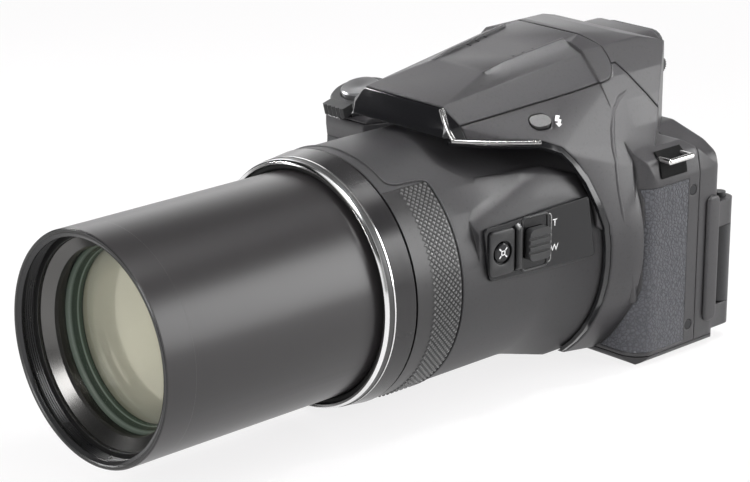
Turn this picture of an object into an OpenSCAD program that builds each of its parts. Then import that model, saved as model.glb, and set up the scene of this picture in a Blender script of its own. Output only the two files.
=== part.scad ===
// Bridge camera with a long zoom lens, a pop-up flash and a swing-out monitor
// Origin: mouth of the tripod socket. +Z is up and the lens looks along -Y.
// In the lens modules, t is the distance ahead of the origin along the lens axis.

/* [Lens] */
// Height of the lens axis above the base
axis_z = 40.5; // [40.3:0.1:42]
// Outside radius of the zoom barrel
barrel_r = 35; // [34:0.1:35.2]
// Wall of the zoom barrel
barrel_wall = 1.5; // [1.2:0.1:1.8]
// Front edge of the bright ring, ahead of the origin
ring_t = 118; // [114:0.5:124]
// Length of barrel that stands out of the bright ring
barrel_extension = 79; // [70:1:90]
// Length of barrel that stays inside the housing
barrel_overlap = 16; // [14:0.5:18]
// Travel of the barrel from extended to parked
zoom_travel = 74; // [50:1:75]
// Wall of the filter ring outside its thread
rim_wall = 1.5; // [1.2:0.1:2]
// Depth of the filter ring
filter_depth = 6.8; // [6:0.1:8]
// Distance of the front glass's edge inside the outside of the barrel
glass_set = 6.2; // [5:0.1:8]
// Edge thickness of the front glass
glass_edge = 2; // [1.5:0.1:2.5]
// Depth of the inner glass's edge behind the front glass's edge
well_depth = 5.8; // [5.5:0.1:7]
// Distance of the inner glass's edge inside the front glass's edge
well_step = 2.4; // [2:0.1:3]
// Edge thickness of the inner glass
inner_edge = 10; // [8:0.5:12]

/* [Zoom drive] */
// Wall of the cam sleeve
sleeve_wall = 1.3; // [1.2:0.1:1.5]
// Radial clearance of turning and sliding lens parts
run_gap = 0.35; // [0.3:0.05:0.4]
// Turn of the cam sleeve over the zoom travel, in degrees
cam_turn = 90; // [60:1:100]
// Radius of the three follower pins
pin_r = 1.2; // [1:0.1:1.4]
// Module of the zoom gear
gear_module = 1; // [0.95:0.01:1]
// Teeth on the cam sleeve
gear_teeth = 66; // [62:2:66]
// Teeth on the drive pinion
pinion_teeth = 10; // [10:2:12]
// Face width of the zoom gear
gear_w = 4; // [3:0.1:4.2]
// Radius of the two guide rods
rod_r = 1.5; // [1.2:0.1:1.8]
// Distance of the guide rods from the lens axis
rod_reach = 24; // [23:0.5:25]
// Radius of the zoom motor
motor_r = 6.5; // [6:0.1:7]

/* [Lens housing] */
// Skin of the lens housing outside its bore
housing_skin = 2.35; // [2.3:0.05:2.6]
// Radius of the rear flange of the housing
flange_r = 44.4; // [44:0.1:44.8]
// Front of the rear flange, ahead of the origin
flange_t = 31; // [30:0.5:33]
// Length of the knurled band
knurl_len = 18.3; // [14:0.1:20]
// Length of the smooth collar behind the bright ring
collar_len = 8; // [7:0.1:9]
// Length of the bright ring
ring_len = 3.6; // [3:0.1:4]
// Thickness of the gloss control panel
panel_t = 1.1; // [0.9:0.1:1.4]

/* [Body] */
// Left wall, seen by the user, from the lens axis
body_left = 48; // [47.5:0.1:49]
// Right wall at the hand grip, from the lens axis
body_right = 85; // [84.5:0.1:87]
// Front wall, ahead of the origin
body_front = 17; // [16.5:0.1:18]
// Back wall, behind the origin
body_back = 22.2; // [21.8:0.1:23]
// Wall of the covers
wall = 2; // [1.8:0.05:2.1]
// Height of the control deck
deck_z = 69; // [68.5:0.1:70]
// Height of the hump
hump_z = 102; // [101:0.1:103]
// Thickness of the base plate
base_t = 2.6; // [2.4:0.05:2.7]
// Visible seam between covers
seam = 0.3; // [0.2:0.05:0.35]
// Reach of the hand grip ahead of the origin
grip_reach = 40; // [39:0.1:42]
// Inner side of the hand grip, from the lens axis
grip_inner = 52.5; // [52:0.1:53.5]
// Thickness of the leather and rubber skins
skin_t = 0.9; // [0.7:0.05:1.1]

/* [Hump and flash] */
// Front of the nose, ahead of the origin
nose_y = 77; // [76:0.1:79]
// Half width of the nose plate
nose_w = 19.7; // [19:0.1:20.5]
// Wall of the flash head
flash_wall = 1.6; // [1.4:0.05:1.8]
// Distance of the flash hinge ahead of the origin
pivot_y = 14.2; // [14:0.1:14.6]
// Depth of the flash hinge below the top of the hump
pivot_drop = 5.4; // [5.2:0.1:5.6]
// Radius of the flash hinge pin
flash_pin_r = 1.2; // [1:0.05:1.4]

/* [Monitor] */
// Width of the monitor panel
monitor_w = 71; // [68:0.5:72]
// Height of the monitor panel
monitor_h = 54; // [50:0.5:55]
// Thickness of the monitor panel
monitor_t = 7; // [6.5:0.1:7.2]
// Radius of the hinge knuckles
knuckle_r = 4.1; // [4:0.05:4.2]
// Radius of the hinge pin
hinge_pin_r = 2; // [1.8:0.05:2.1]

/* [Controls] */
// Radius of the shutter button
shutter_r = 6.7; // [6:0.1:7]
// Radius of the mode dial
mode_r = 10; // [9:0.1:10.5]
// Radius of the command dial
command_r = 7; // [6.5:0.1:7.5]
// Radius of the rotary selector
selector_r = 12.5; // [11:0.1:13]
// Radius of the round rear buttons
button_r = 3.2; // [3:0.05:3.5]
// Height of the buttons above their cover
button_proud = 1.2; // [1:0.05:1.5]
// Radial clearance of a button in its hole
button_gap = 0.25; // [0.2:0.05:0.3]
// Running clearance of pins in their bores
pin_gap = 0.05; // [0.04:0.01:0.08]

/* [Base] */
// Radius of the tripod thread
tripod_r = 3.175; // [3.1:0.005:3.2]
// Outside radius of the tripod socket
socket_r = 6; // [5.5:0.1:6.3]
// Width of the battery door
door_w = 24; // [23:0.5:25]
// Length of the battery door
door_l = 30; // [29:0.5:32]

/* [Hidden] */
$fn = 96;

// Lens stations along the axis
rim_t = ring_t + barrel_extension;
barrel_front_t = rim_t - filter_depth;
filter_r = barrel_r - rim_wall;
glass_r = barrel_r - glass_set;
barrel_back_t = ring_t - barrel_overlap;
pin_t = barrel_back_t + 2.2;
collar_front_t = ring_t - ring_len;
collar_back_t = collar_front_t - collar_len;
knurl_back_t = collar_back_t - 0.5 - knurl_len;
glass_front_t = barrel_front_t - 5.8;
glass_back_t = glass_front_t - glass_edge;
inner_glass_r = glass_r - well_step;
inner_front_t = glass_front_t - well_depth;
inner_back_t = inner_front_t - inner_edge;
sleeve_front_t = collar_back_t + 2;
sleeve_back_t = body_front + 3;
neck_back_t = 6.5;
gear_back_t = neck_back_t + 2.8;

// Lens radii from the barrel outwards
sleeve_r0 = barrel_r + run_gap;
sleeve_r1 = sleeve_r0 + sleeve_wall;
bore_r = sleeve_r1 + 0.4;
groove_r = bore_r + 0.8;
housing_r = bore_r + housing_skin;
seat_r = housing_r - 0.85;
gear_pitch_r = gear_module * gear_teeth / 2;
pinion_pitch_r = gear_module * pinion_teeth / 2;
neck_r0 = gear_pitch_r + gear_module + 0.8;
neck_r1 = neck_r0 + 2.2;
pinion_reach = gear_pitch_r + pinion_pitch_r + 0.15;
pinion_angle = 205;
pinion_x = pinion_reach * cos(pinion_angle);
pinion_z = axis_z + pinion_reach * sin(pinion_angle);
inner_r = gear_pitch_r - 2.7;
variator_t = 60;
variator_len = 8;
focus_t = 27;
focus_len = 5;
rod_front_t = variator_t + variator_len + 12;
rod_angles = [60, 240];
cheek_clear = 0.35;

// Body datums
split_y = 10;
deck_split_z = deck_z - 6.5;
shoulder_z = deck_z + 2;
deck_inner_x = 38.6;
base_top = base_t + seam;
bezel_r = flange_r + 3.6;
bezel_t = flange_t - 2.2;
trim_r = flange_r + 0.95;

// Flash zone: seam line, nose line and the hinge arc
pivot_z = hump_z - pivot_drop;
seam_front = [4.5 - nose_y, hump_z - 16.1];
split_top = [7.7 - pivot_y, hump_z - 8];
edge_z = hump_z - 20;
nose_slope = 0.32;
pivot_reach = 6.2;
ear_x = 8.5;
ear_t = 2.4;
ear_r = 2;
rim_up = 1.1;

// Monitor datums
hinge_x = body_left - 4.4;
hinge_y = body_back + 3.6;
arm_z0 = 12.5;
arm_z1 = 38.5;
arm_reach = 9;
monitor_gap = 0.3;
monitor_z0 = 3.5;
monitor_x1 = hinge_x - arm_reach - monitor_gap;
monitor_x0 = monitor_x1 - monitor_w;
tilt_z = monitor_z0 + monitor_h / 2;
stub_r = 2.4;
stub_len = 6;

// Control places
mode_xy = [-53, 3];
command_xy = [-69.5, 12];
power_xy = [-67.8, -5.2];
fn_xy = [-58.5, -12];
slope_y0 = 17;
slope_run = 21.5;
slope_drop = 5.5;
slope_a = atan2(slope_drop, slope_run);
shutter_x = -68.5;
shutter_y = -26.8;
shutter_z = deck_z - (-shutter_y - slope_y0) * slope_drop / slope_run;
lever_in = shutter_r + 0.35;
lever_out = lever_in + 3.6;
selector_xz = [-62, 31];
key_gap = 9.3;
rear_keys = [[monitor_x0 - key_gap, 57], [monitor_x0 - key_gap, 45.5], [selector_xz[0] + 8, 11],
  [selector_xz[0] - 9, 11]];
ok_r = 5.5;
dial_shaft_r = 3;
flash_n = [0.457, -0.183, 0.870];
flash_long = [0.26, 0.96, 0.065];
flash_at = [30.6, -46.2, hump_z - 18.45];
flash_key = [7, 5];
key_groove = 0.4;
panel_y0 = -80;
panel_x0 = housing_r - 0.8;
panel_a = 4.75;
lever_y = 21;
lever_z = axis_z + 10.3;
lever_travel = 2.5;
lever_half = 5;
stem_half = 2;
snap_y = 7.6;
snap_z = axis_z + 9.8;
finder_w = 16.3;
finder_z0 = 71;
finder_z1 = hump_z - 5.5;
finder_y = body_back + 5;
finder_z = hump_z - 16.5;
eye_r = 6.5;
dioptre_y = body_back + 3;
dioptre_r = 2.6;
dioptre_z = hump_z - 16;
lug_z = shoulder_z - 3.9;
right_lug_z = deck_z - 12;
lug_y = [-7.6, 2.6];
lug_wire_r = 0.95;
side_screws = [[7.1, 54.4], [7.1, 9]];
base_screws = [[32, 11], [-34, 11], [32, -3.6], [-44, -3.6]];
screw_r = 0.9;
screw_head_r = 1.6;
door_x0 = 5.5 - body_right;
door_x1 = door_x0 + door_w;
door_y0 = 16 - grip_reach;
door_y1 = door_y0 + door_l;
door_pin_r = 0.75;
door_pin_z = base_t / 2;
door_pin_x = door_x1 - 1.3;
port_y0 = -4.5;
port_y1 = 8.4;
port_z0 = 22;
port_z1 = 46;
port_t = 1.5;
port_pin_r = 0.6;
port_pin_y = port_y0 + 0.8;
port_pin_x = 0.75 - body_right;
battery_x0 = door_x0 + 2.5;
battery_x1 = battery_x0 + 16;
battery_y0 = door_y0 + 1;
battery_y1 = -2;
battery_z1 = 50;
chassis_y0 = -1.5;
chassis_y1 = 0;
capacitor_r = 5;

// Outlines with a corner radius as third number, turning left
deck_round = 12;
body_profile = [[-body_right, 0, 5], [body_left, 0, 4], [body_left, shoulder_z - 11, 5],
  [body_left - 1.4, shoulder_z - 4.2, 4], [body_left - 6, shoulder_z - 0.2, 4], [37, hump_z - 26, 4],
  [33, hump_z - 18, 4], [28.5, hump_z - 11.2, 2], [21, hump_z - 3, 2], [12.5, hump_z, 3],
  [-12.5, hump_z, 3], [-21, hump_z - 3, 2], [-28.5, hump_z - 11.2, 2], [-33, hump_z - 18, 4],
  [-37, hump_z - 26, 3], [-41.5, deck_z, 3], [-body_right, deck_z, deck_round]];
body_outline = [[-body_right, -body_front, 6], [body_left, -body_front, 8], [body_left, body_back, 5],
  [-body_right, body_back, 11]];
body_side = [[-body_front, 0, 3], [body_back, 0, 3], [body_back, hump_z - 6, 6], [4, hump_z - 1.5, 0],
  [-9, hump_z, 0], [-body_front, hump_z - 1.2, 0]];
hump_plan = [[-44, -30, 0], [44, -30, 0], [44, -8, 0], [38, 0, 6], [20.5, body_back + 1, 0],
  [-20.5, body_back + 1, 0], [-38, 0, 6], [-44, -8, 0]];
// Fall of the left shoulder, seen from the front and from the side
shoulder_line = [[-120, -2, 0], [70, -2, 0], [70, shoulder_z - 22, 0], [body_left + 1, shoulder_z - 16, 4],
  [body_left - 3.6, shoulder_z - 8, 6], [body_left - 9, shoulder_z - 4.7, 8], [26, shoulder_z - 0.8, 6],
  [-120, shoulder_z - 0.8, 0]];
shoulder_side = [[-60, -2, 0], [body_back + 8, -2, 0], [body_back + 8, shoulder_z - 19, 0],
  [lug_y[1] + 4, shoulder_z - 0.8, 5], [-60, shoulder_z - 0.8, 0]];
grip_outline = [[-body_right, 9, 0], [-body_right, 22 - grip_reach, 14], [9.5 - body_right, -grip_reach, 10],
  [-grip_inner - 6, -grip_reach, 8], [-grip_inner - 0.8, 12 - grip_reach, 8], [-grip_inner, 9, 0]];
grip_side = [[4.5 - grip_reach, 0, 4], [9, 0, 0], [9, deck_z, 0], [-slope_y0, deck_z, 5],
  [-slope_y0 - slope_run, deck_z - slope_drop, 3.5], [4 - slope_y0 - slope_run, deck_z - 15.5, 7],
  [1 - grip_reach, 44, 12],
  [-grip_reach, 18, 20]];
grip_front = [[-body_right, 0, 5], [-40, 0, 0], [-40, deck_z, 0], [-body_right, deck_z, deck_round]];

// Left half of the hump: nose, lower edge, crease, top, rear section and cheek
hump_half = [[nose_w, -nose_y, edge_z], [nose_w - 0.3, 0.6 - nose_y, edge_z + 3],
  [nose_w - 3.3, 3 - nose_y, edge_z + 9],
  [nose_w + 0.8, 1 - nose_y, edge_z], [nose_w + 2.3, 3 - nose_y, edge_z + 4],
    [26.5, 8.5 - nose_y, edge_z - 1],
  [31, 17.5 - nose_y, edge_z - 2], [35, 26.5 - nose_y, edge_z - 3], [37.5, -43, edge_z - 6],
    [18.3, -45, hump_z - 8.6],
  [19.5, -30, hump_z - 6.5], [10.5, -48.5, hump_z - 5.3], [11.3, -28, hump_z - 2.9], [12.5, -9, hump_z],
  [21, -9, hump_z - 3], [28.5, -9, hump_z - 11.2], [33, -9, hump_z - 18], [37, -9, hump_z - 26],
  [40.5, -36, 66], [43, -33, 57], [body_left - 4, -body_front - 1, 66],
    [body_left - 2.5, -body_front - 1, 57],
  [bezel_r - 2.4, -bezel_t - 0.1, axis_z + 6.5], [bezel_r - 1.2, -body_front - 1, axis_z + 6.5]];

// Gloss trim: along the lower edge of the hump and down round the housing flange
trim_path = concat([[nose_w + 0.7, 1.6 - nose_y, edge_z - 0.8], [26.6, 8.5 - nose_y, edge_z - 1.8],
  [31.1, 17.5 - nose_y, edge_z - 2.8], [35, 26.5 - nose_y, edge_z - 3.8], [37.4, -44, edge_z - 6.6],
  [38.6, -40, edge_z - 10.6], [41, -36, 65],
  [43.1, -flange_t - 1.4, axis_z + 16.2]],
  [for (a = [12:-8:-52]) [trim_r * cos(a), 0.7 - flange_t, axis_z + trim_r * sin(a)]]);

// Vector and outline helpers
function unit(v) = v / norm(v);
function flat(p) = [p[0], p[1]];
function corner(a, p, b, n) = p[2] <= 0.05 ? [flat(p)] :
  let (u = unit(flat(a) - flat(p)), v = unit(flat(b) - flat(p)), half = acos(u * v) / 2,
    r = min(p[2], 0.48 * min(norm(flat(a) - flat(p)), norm(flat(b) - flat(p))) * tan(half)),
    o = flat(p) + unit(u + v) * r / sin(half), s = flat(p) + u * r / tan(half),
      e = flat(p) + v * r / tan(half),
    a0 = atan2(s[1] - o[1], s[0] - o[0]), d = atan2(e[1] - o[1], e[0] - o[0]) - a0,
    turn = d > 180 ? d - 360 : d < -180 ? d + 360 : d)
  [for (i = [0:n]) o + r * [cos(a0 + turn * i / n), sin(a0 + turn * i / n)]];
function rounded(c, n = 5) = [for (i = [0:len(c) - 1])
  each corner(c[(i + len(c) - 1) % len(c)], c[i], c[(i + 1) % len(c)], n)];
function inset(c, g) = [for (i = [0:len(c) - 1])
  let (p = c[i], u = unit(flat(p) - flat(c[(i + len(c) - 1) % len(c)])),
    v = unit(flat(c[(i + 1) % len(c)]) - flat(p)), n1 = [-u[1], u[0]], n2 = [-v[1], v[0]],
    q = flat(p) + (n1 + n2) * g / (1 + n1 * n2))
  [q[0], q[1], p[2] <= 0.05 ? 0 : cross(u, v) > 0 ? max(p[2] - g, 0.3) : p[2] + g]];
function box_outline(x0, y0, x1, y1, r) = [[x0, y0, r], [x1, y0, r], [x1, y1, r], [x0, y1, r]];
function teeth(n, r0, r1, foot, tip, turn = 0) = [for (i = [0:n - 1]) let (p = 360 / n)
  each [for (k = [[r0, -foot], [r1, -tip], [r1, tip], [r0, foot]])
    k[0] * [cos(turn + p * (i + k[1])), sin(turn + p * (i + k[1]))]]];
function lens_shape(r, t0, t1, sag0, sag1, n = 8) = concat(
  [for (i = [0:n]) let (k = i / n) [r * k, t0 - sag0 * (1 - k * k)]],
  [for (i = [0:n]) let (k = 1 - i / n) [r * k, t1 + sag1 * (1 - k * k)]]);

// Prisms along the three axes, and the lens axis
module prism_y(c, y0, y1) { translate([0, y1, 0]) rotate([90, 0, 0]) linear_extrude(y1 - y0) polygon(c); }
module prism_x(c, x0, x1) { translate([x0, 0, 0]) rotate([90, 0, 90]) linear_extrude(x1 - x0) polygon(c); }
module prism_z(c, z0, z1) { translate([0, 0, z0]) linear_extrude(z1 - z0) polygon(c); }
module on_axis() { translate([0, 0, axis_z]) rotate([90, 0, 0]) children(); }
module turned(c) { on_axis() rotate_extrude() polygon(c); }
module span(a, b) { translate(a) cube(b - a); }
module both_sides() { children(); mirror([1, 0, 0]) children(); }
module out_back() { rotate([-90, 0, 0]) children(); }
module point_hull(pts) {
  hull() polyhedron(points = pts, faces = [for (i = [0:len(pts) - 3]) [i, i + 1, i + 2]]);
}

// Main block of the body, set in by g
module body_form(g) {
  intersection() {
    prism_y(rounded(inset(body_profile, g)), -30, 40);
    prism_z(rounded(inset(body_outline, g), 6), -1, hump_z + 2);
    prism_x(rounded(inset(body_side, g)), -100, 60);
    union() {
      prism_x(rounded(inset(shoulder_side, g)), -120, 70);
      prism_y(rounded(inset(shoulder_line, g)), -60, 60);
      prism_z(rounded(inset(hump_plan, g)), deck_z - 4, hump_z + 3);
    }
  }
}
module grip_form(g) {
  intersection() {
    prism_z(rounded(inset(grip_outline, g), 7), -1, deck_z + 2);
    prism_x(rounded(inset(grip_side, g), 6), -100, -40);
    prism_y(rounded(inset(grip_front, g)), -60, 20);
  }
}
module hump_form(g) {
  point_hull([for (s = [1, -1]) for (p = hump_half)
    [s * (p[0] - g), p[1] + (p[1] < -70 ? g : p[1] > -10 ? 0.8 * g : 0), p[2] - 1.1 * g]]);
}
module cavity() {
  body_form(wall);
  grip_form(wall);
  hump_form(wall);
}

// Zones that part the covers from each other
function nose_at(z) = seam_front[0] - nose_slope * (z - seam_front[1]);
flash_zone = concat([[seam_front[0], seam_front[1], 0]],
  [for (a = [-90:15:90]) [pivot_reach * cos(a) - pivot_y, pivot_z + pivot_reach * sin(a), 0]],
  [[-pivot_y, 130, 0], [nose_at(130), 130, 0]]);
module flash_space(g) { prism_x([for (p = inset(flash_zone, -g)) flat(p)], -60, 60); }
module nose_space(back) {
  prism_x([[-140, 60], [nose_at(60) + back, 60], [nose_at(130) + back, 130], [-140, 130]], -60, 60);
}
module front_space() {
  prism_x([[-130, -5], [split_y, -5], [split_y, shoulder_z - 1], split_top, [-130, split_top[1]]],
    -120, 70);
}
module rear_space() {
  prism_x([[split_y + seam, -5], [70, -5], [70, 130], [-30, 130], [-30, split_top[1] + seam],
    [split_top[0] + seam, split_top[1] + seam], [split_y + seam, shoulder_z - 1 + seam]], -120, 70);
}
// Space under the lower edge of the hump and ahead of the cheeks
module under_space() {
  prism_x(concat([[-140, 20], [-33.2, 20]],
    [for (p = [[43, -33, 57], [40.5, -36, 66], [37.5, -43, edge_z - 6], [35, 26.5 - nose_y, edge_z - 3],
      [31, 17.5 - nose_y, edge_z - 2], [26.5, 8.5 - nose_y, edge_z - 1], [nose_w, -nose_y, edge_z]])
      [p[1] - 0.2, p[2] + 0.25]], [[-140, edge_z + 1]]), -70, 70);
}
module deck_space(g) { span([-120, -70, deck_split_z - g], [-deck_inner_x + g, 60, 130]); }
module base_space(top) { span([-120, -70, -10], [70, 60, top]); }

// Outside of the lens housing, grown by g
function housing_line(g, front) = concat([[0, body_front + 0.3], [flange_r + g, body_front + 0.3],
  [flange_r + g, flange_t + g]],
  [for (i = [1:6]) let (k = 1 - i / 6) [housing_r + g + (flange_r - housing_r) * k * k,
    flange_t + g + 21 * i / 6]],
  [[housing_r + g, front], [0, front]]);
module saddle(g) {
  h = housing_r;
  x = function(y) panel_x0 + (y - panel_y0) * tan(panel_a) + g;
  point_hull([for (p = concat([[h - 19.4, panel_y0 - g, 45], [h - 19.4, -32, 45]],
    [for (z = [axis_z, 52, 57]) [x(panel_y0), panel_y0 - g, z]],
    [[h - 5.4, panel_y0 - g, 60.5 + g], [x(-70), -70, axis_z], [x(-70), -70, 55], [h - 1.4 + g, -70, 59 + g],
    [h - 6.4, -70, 65.5 + g], [h - 12.9, -70, 70 + g], [x(-58), -58, 40], [x(-58), -58, 56],
    [h + 0.1 + g, -58, 62.5 + g], [h - 2.4 + g, -58, 68 + g], [h - 5.4, -58, 70.6 + g], [x(-48), -48, 40],
    [x(-48), -48, 55], [h + 0.9 + g, -48, 62.5 + g], [h - 1.2 + g, -48, 68.4 + g], [h - 6.4, -48, 70.6 + g],
    [x(-32), -32, 40], [x(-32), -32, 47], [h + 0.6 + g, -32, 59 + g], [h - 3.4 + g, -32, 65 + g]])) p]);
}
module lens_clear() {
  turned(housing_line(cheek_clear, 140));
  saddle(cheek_clear);
}

// Strip of square section along a path, facing away from the lens axis
module strip(path, a, b) {
  n = len(path);
  section = [for (i = [0:n - 1]) let (p = path[i],
    t = unit(path[min(i + 1, n - 1)] - path[max(i - 1, 0)]), raw = [p[0], 0, p[2] - axis_z],
    r = unit(raw - (raw * t) * t), s = cross(t, r))
    each [p + a * r + b * s, p - a * r + b * s, p - a * r - b * s, p + a * r - b * s]];
  sides = [for (i = [0:n - 2]) for (k = [0:3]) let (k1 = (k + 1) % 4, c = 4 * i)
    each [[c + k, c + 4 + k, c + k1], [c + k1, c + 4 + k, c + 4 + k1]]];
  last = 4 * (n - 1);
  polyhedron(points = section, faces = concat(sides,
    [[0, 1, 2], [0, 2, 3], [last, last + 2, last + 1], [last, last + 3, last + 2]]));
}

// Round button cap with an inner flange, standing on a wall at height 0
module cap(r, proud = button_proud, lip = 1) {
  rotate_extrude() polygon([[0, -wall - 1.2], [r + lip, -wall - 1.2], [r + lip, -wall - 0.2],
    [r, -wall - 0.2],
    [r, proud - 0.5], [r - 0.15, proud - 0.15], [r - 0.5, proud], [0, proud + 0.15]]);
}
module cap_hole(r) { translate([0, 0, -wall - 3]) cylinder(h = wall + 6, r = r + button_gap); }

// Notched dial with a shaft and an inner clip
module dial(r, h, n) {
  translate([0, 0, seam]) linear_extrude(h - 0.8) polygon(teeth(n, r - 0.45, r, 0.32, 0.18));
  translate([0, 0, seam + h - 0.8]) rotate_extrude() polygon([[0, 0], [r - 0.45, 0], [r - 1.2, 0.8],
    [0, 0.8]]);
  translate([0, 0, -wall - 1.5]) cylinder(h = wall + 1.5 + seam, r = dial_shaft_r);
  translate([0, 0, -wall - 1.7]) cylinder(h = 1.4, r = dial_shaft_r + 1.5);
}
module dial_hole() { translate([0, 0, -wall - 1]) cylinder(h = wall + 2, r = dial_shaft_r + pin_gap); }

// Frames of the sloping shutter deck, the flash button and the side panel
module on_slope() { translate([shutter_x, shutter_y, shutter_z]) rotate([slope_a, 0, 0]) children(); }
module lever_hole() {
  on_slope() translate([0, 0, -wall - 3]) cylinder(h = wall + 6, r = lever_in + 1.1 + pin_gap);
}
module on_flash_side() {
  w = unit(flash_n);
  u = unit(flash_long - (flash_long * w) * w);
  v = cross(w, u);
  multmatrix([[u[0], v[0], w[0], flash_at[0]], [u[1], v[1], w[1], flash_at[1]],
    [u[2], v[2], w[2], flash_at[2]],
    [0, 0, 0, 1]]) children();
}
module on_panel() { translate([panel_x0, panel_y0, 0]) rotate([0, 0, -panel_a]) children(); }
module panel_out(y, z) { on_panel() translate([panel_t, y, z]) rotate([0, 90, 0]) children(); }
module pill(l, w, h) {
  linear_extrude(h) {
    square([l - w, w], center = true);
    for (s = [-1, 1]) translate([s * (l - w) / 2, 0]) circle(w / 2);
  }
}

// Skins, recesses and holes that two pieces share
panel_outline = [[3.4, axis_z + 1.3, 1.5], [46.3, axis_z + 0.7, 1], [43, axis_z + 20.3, 1],
  [0.8, axis_z + 18, 1.5]];
leather_z = [4.2, 58.5];
leather_y = 4.8;
rubber_y = -body_front - 2.5;
rubber_z = [4.2, deck_z - 14.5];
module leather_zone(g) {
  difference() {
    span([14 - g, -body_front - 2, leather_z[0] - g], [body_left + 2, leather_y + g, leather_z[1] + g]);
    turned([[0, body_front - 3], [bezel_r + 0.4 - g, body_front - 3], [bezel_r + 0.4 - g, 60], [0, 60]]);
  }
}
module rubber_zone(g) { span([-120, -60, rubber_z[0] - g], [-40, rubber_y + g, rubber_z[1] + g]); }
module leather_recess() {
  intersection() {
    difference() { body_form(-1); body_form(skin_t + 0.05); }
    leather_zone(0.12);
  }
}
module rubber_recess() {
  intersection() {
    difference() { grip_form(-1); grip_form(skin_t + 0.05); }
    rubber_zone(0.12);
  }
}
module bezel() {
  intersection() {
    turned([[flange_r, body_front - 1], [bezel_r, body_front - 1], [bezel_r, body_front + 1.5],
      [bezel_r - 1.8, bezel_t - 0.4], [bezel_r - 2.2, bezel_t], [flange_r, bezel_t]]);
    span([-60, -60, base_top], [60, 0, 90]);
  }
}
module lug_holes() {
  for (y = lug_y, k = [[0, lug_z], [-120, right_lug_z]]) translate([k[0], y, k[1]]) rotate([0, 90, 0])
    cylinder(h = 120, r = lug_wire_r + 0.1);
}
module knurl_gap(g) {
  on_axis() linear_extrude(200) polygon([[0, 0], [60 * tan(37) + g, 60], [-60 * tan(37) - g, 60]]);
}
module flash_pin(r) {
  translate([-22.2, -pivot_y, pivot_z]) rotate([0, 90, 0]) cylinder(h = 44.4, r = r);
}

// Front half of the shell with the grip, the bezel and the sides of the hump
module front_cover() {
  color("#2b2c2e") {
    difference() {
      intersection() {
        union() {
          body_form(0);
          grip_form(0);
          bezel();
          difference() { hump_form(0); under_space(); }
        }
        front_space();
      }
      cavity();
      lens_clear();
      on_panel() prism_x(rounded(inset(panel_outline, -cheek_clear)), -1, panel_t + cheek_clear);
      turned([[0, 5], [neck_r1 + seam, 5], [neck_r1 + seam, body_front + 2], [0, body_front + 2]]);
      nose_space(0);
      flash_space(0.35);
      deck_space(0);
      base_space(base_top);
      both_sides() strip(trim_path, 0.75, 1.25);
      leather_recess();
      rubber_recess();
      on_flash_side() translate([0, 0, -6]) pill(flash_key[0] + 2 * key_groove,
        flash_key[1] + 2 * key_groove, 12);
      lug_holes();
      lever_hole();
      for (s = side_screws) translate([body_left - 1.2, s[0], s[1]]) rotate([0, 90, 0]) {
        cylinder(h = 5, r = screw_head_r + 0.15);
        translate([0, 0, -5]) cylinder(h = 6, r = screw_r + 0.1);
      }
      span([-body_right - 2, port_y0 - 0.7, port_z0 - seam],
        [wall + 1 - body_right, port_y1 + seam, port_z1 + seam]);
      translate([port_pin_x, port_pin_y, port_z0 - 1.6])
        cylinder(h = port_z1 - port_z0 + 3.2, r = port_pin_r + pin_gap);
    }
    difference() {
      union() {
        intersection() {
          span([-40, 0.4 - body_front, edge_z + 0.5], [40, -11.6, edge_z + 4]);
          hump_form(0.6);
        }
        both_sides() {
          span([ear_x, 0.4 - body_front, edge_z + 3], [ear_x + ear_t, ear_r - pivot_y, pivot_z]);
          translate([ear_x, -pivot_y, pivot_z]) rotate([0, 90, 0]) cylinder(h = ear_t, r = ear_r);
        }
      }
      flash_pin(flash_pin_r + pin_gap);
    }
  }
}

// Rear half of the shell with the finder housing and the monitor knuckles
module rear_cover() {
  color("#28292b") {
    difference() {
      intersection() {
        union() {
          body_form(0);
          prism_y(rounded(box_outline(-finder_w, finder_z0, finder_w, finder_z1, 6)), body_back - 3,
            finder_y);
        }
        rear_space();
      }
      body_form(wall);
      deck_space(0);
      base_space(base_top);
      flash_space(0.35);
      translate([0, 0, finder_z]) out_back() cylinder(h = 60, r = eye_r + 0.1);
      translate([finder_w - 4.6, dioptre_y, dioptre_z]) rotate([0, 90, 0]) {
        cylinder(h = 9, r = 1.5 + pin_gap);
        translate([0, 0, 4.6]) cylinder(h = 2.8, r = dioptre_r + 0.35);
      }
      for (b = rear_keys)
        translate([b[0], body_back, b[1]]) out_back() cap_hole(button_r);
      translate([selector_xz[0], body_back, selector_xz[1]]) out_back()
        translate([0, 0, -wall - 2]) cylinder(h = wall + 4, r = ok_r + 1.7 + pin_gap);
      translate([hinge_x, hinge_y, arm_z0 - 0.25]) cylinder(h = arm_z1 - arm_z0 + 0.5, r = knuckle_r + 0.4);
    }
    difference() {
      for (k = [[monitor_z0 + 1, arm_z0 - 0.25], [arm_z1 + 0.25, 47.3]]) {
        translate([hinge_x, hinge_y, k[0]]) cylinder(h = k[1] - k[0], r = knuckle_r);
        span([hinge_x - knuckle_r, body_back - 4, k[0]], [hinge_x + knuckle_r, hinge_y, k[1]]);
      }
      translate([hinge_x, hinge_y, monitor_z0 + 2.3]) cylinder(h = 43.4, r = hinge_pin_r + pin_gap);
    }
  }
}

// Control deck on the hand-grip side
module top_cover() {
  color("#2b2c2e") difference() {
    intersection() {
      union() {
        body_form(0);
        grip_form(0);
        difference() { hump_form(0); under_space(); }
      }
      deck_space(-seam);
    }
    cavity();
    lens_clear();
    lug_holes();
    for (d = [mode_xy, command_xy]) translate([d[0], d[1], deck_z]) dial_hole();
    translate([power_xy[0], power_xy[1], deck_z]) cap_hole(5);
    translate([fn_xy[0], fn_xy[1], deck_z]) cap_hole(4);
    lever_hole();
    both_sides() strip(trim_path, 0.75, 1.25);
  }
}

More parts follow.
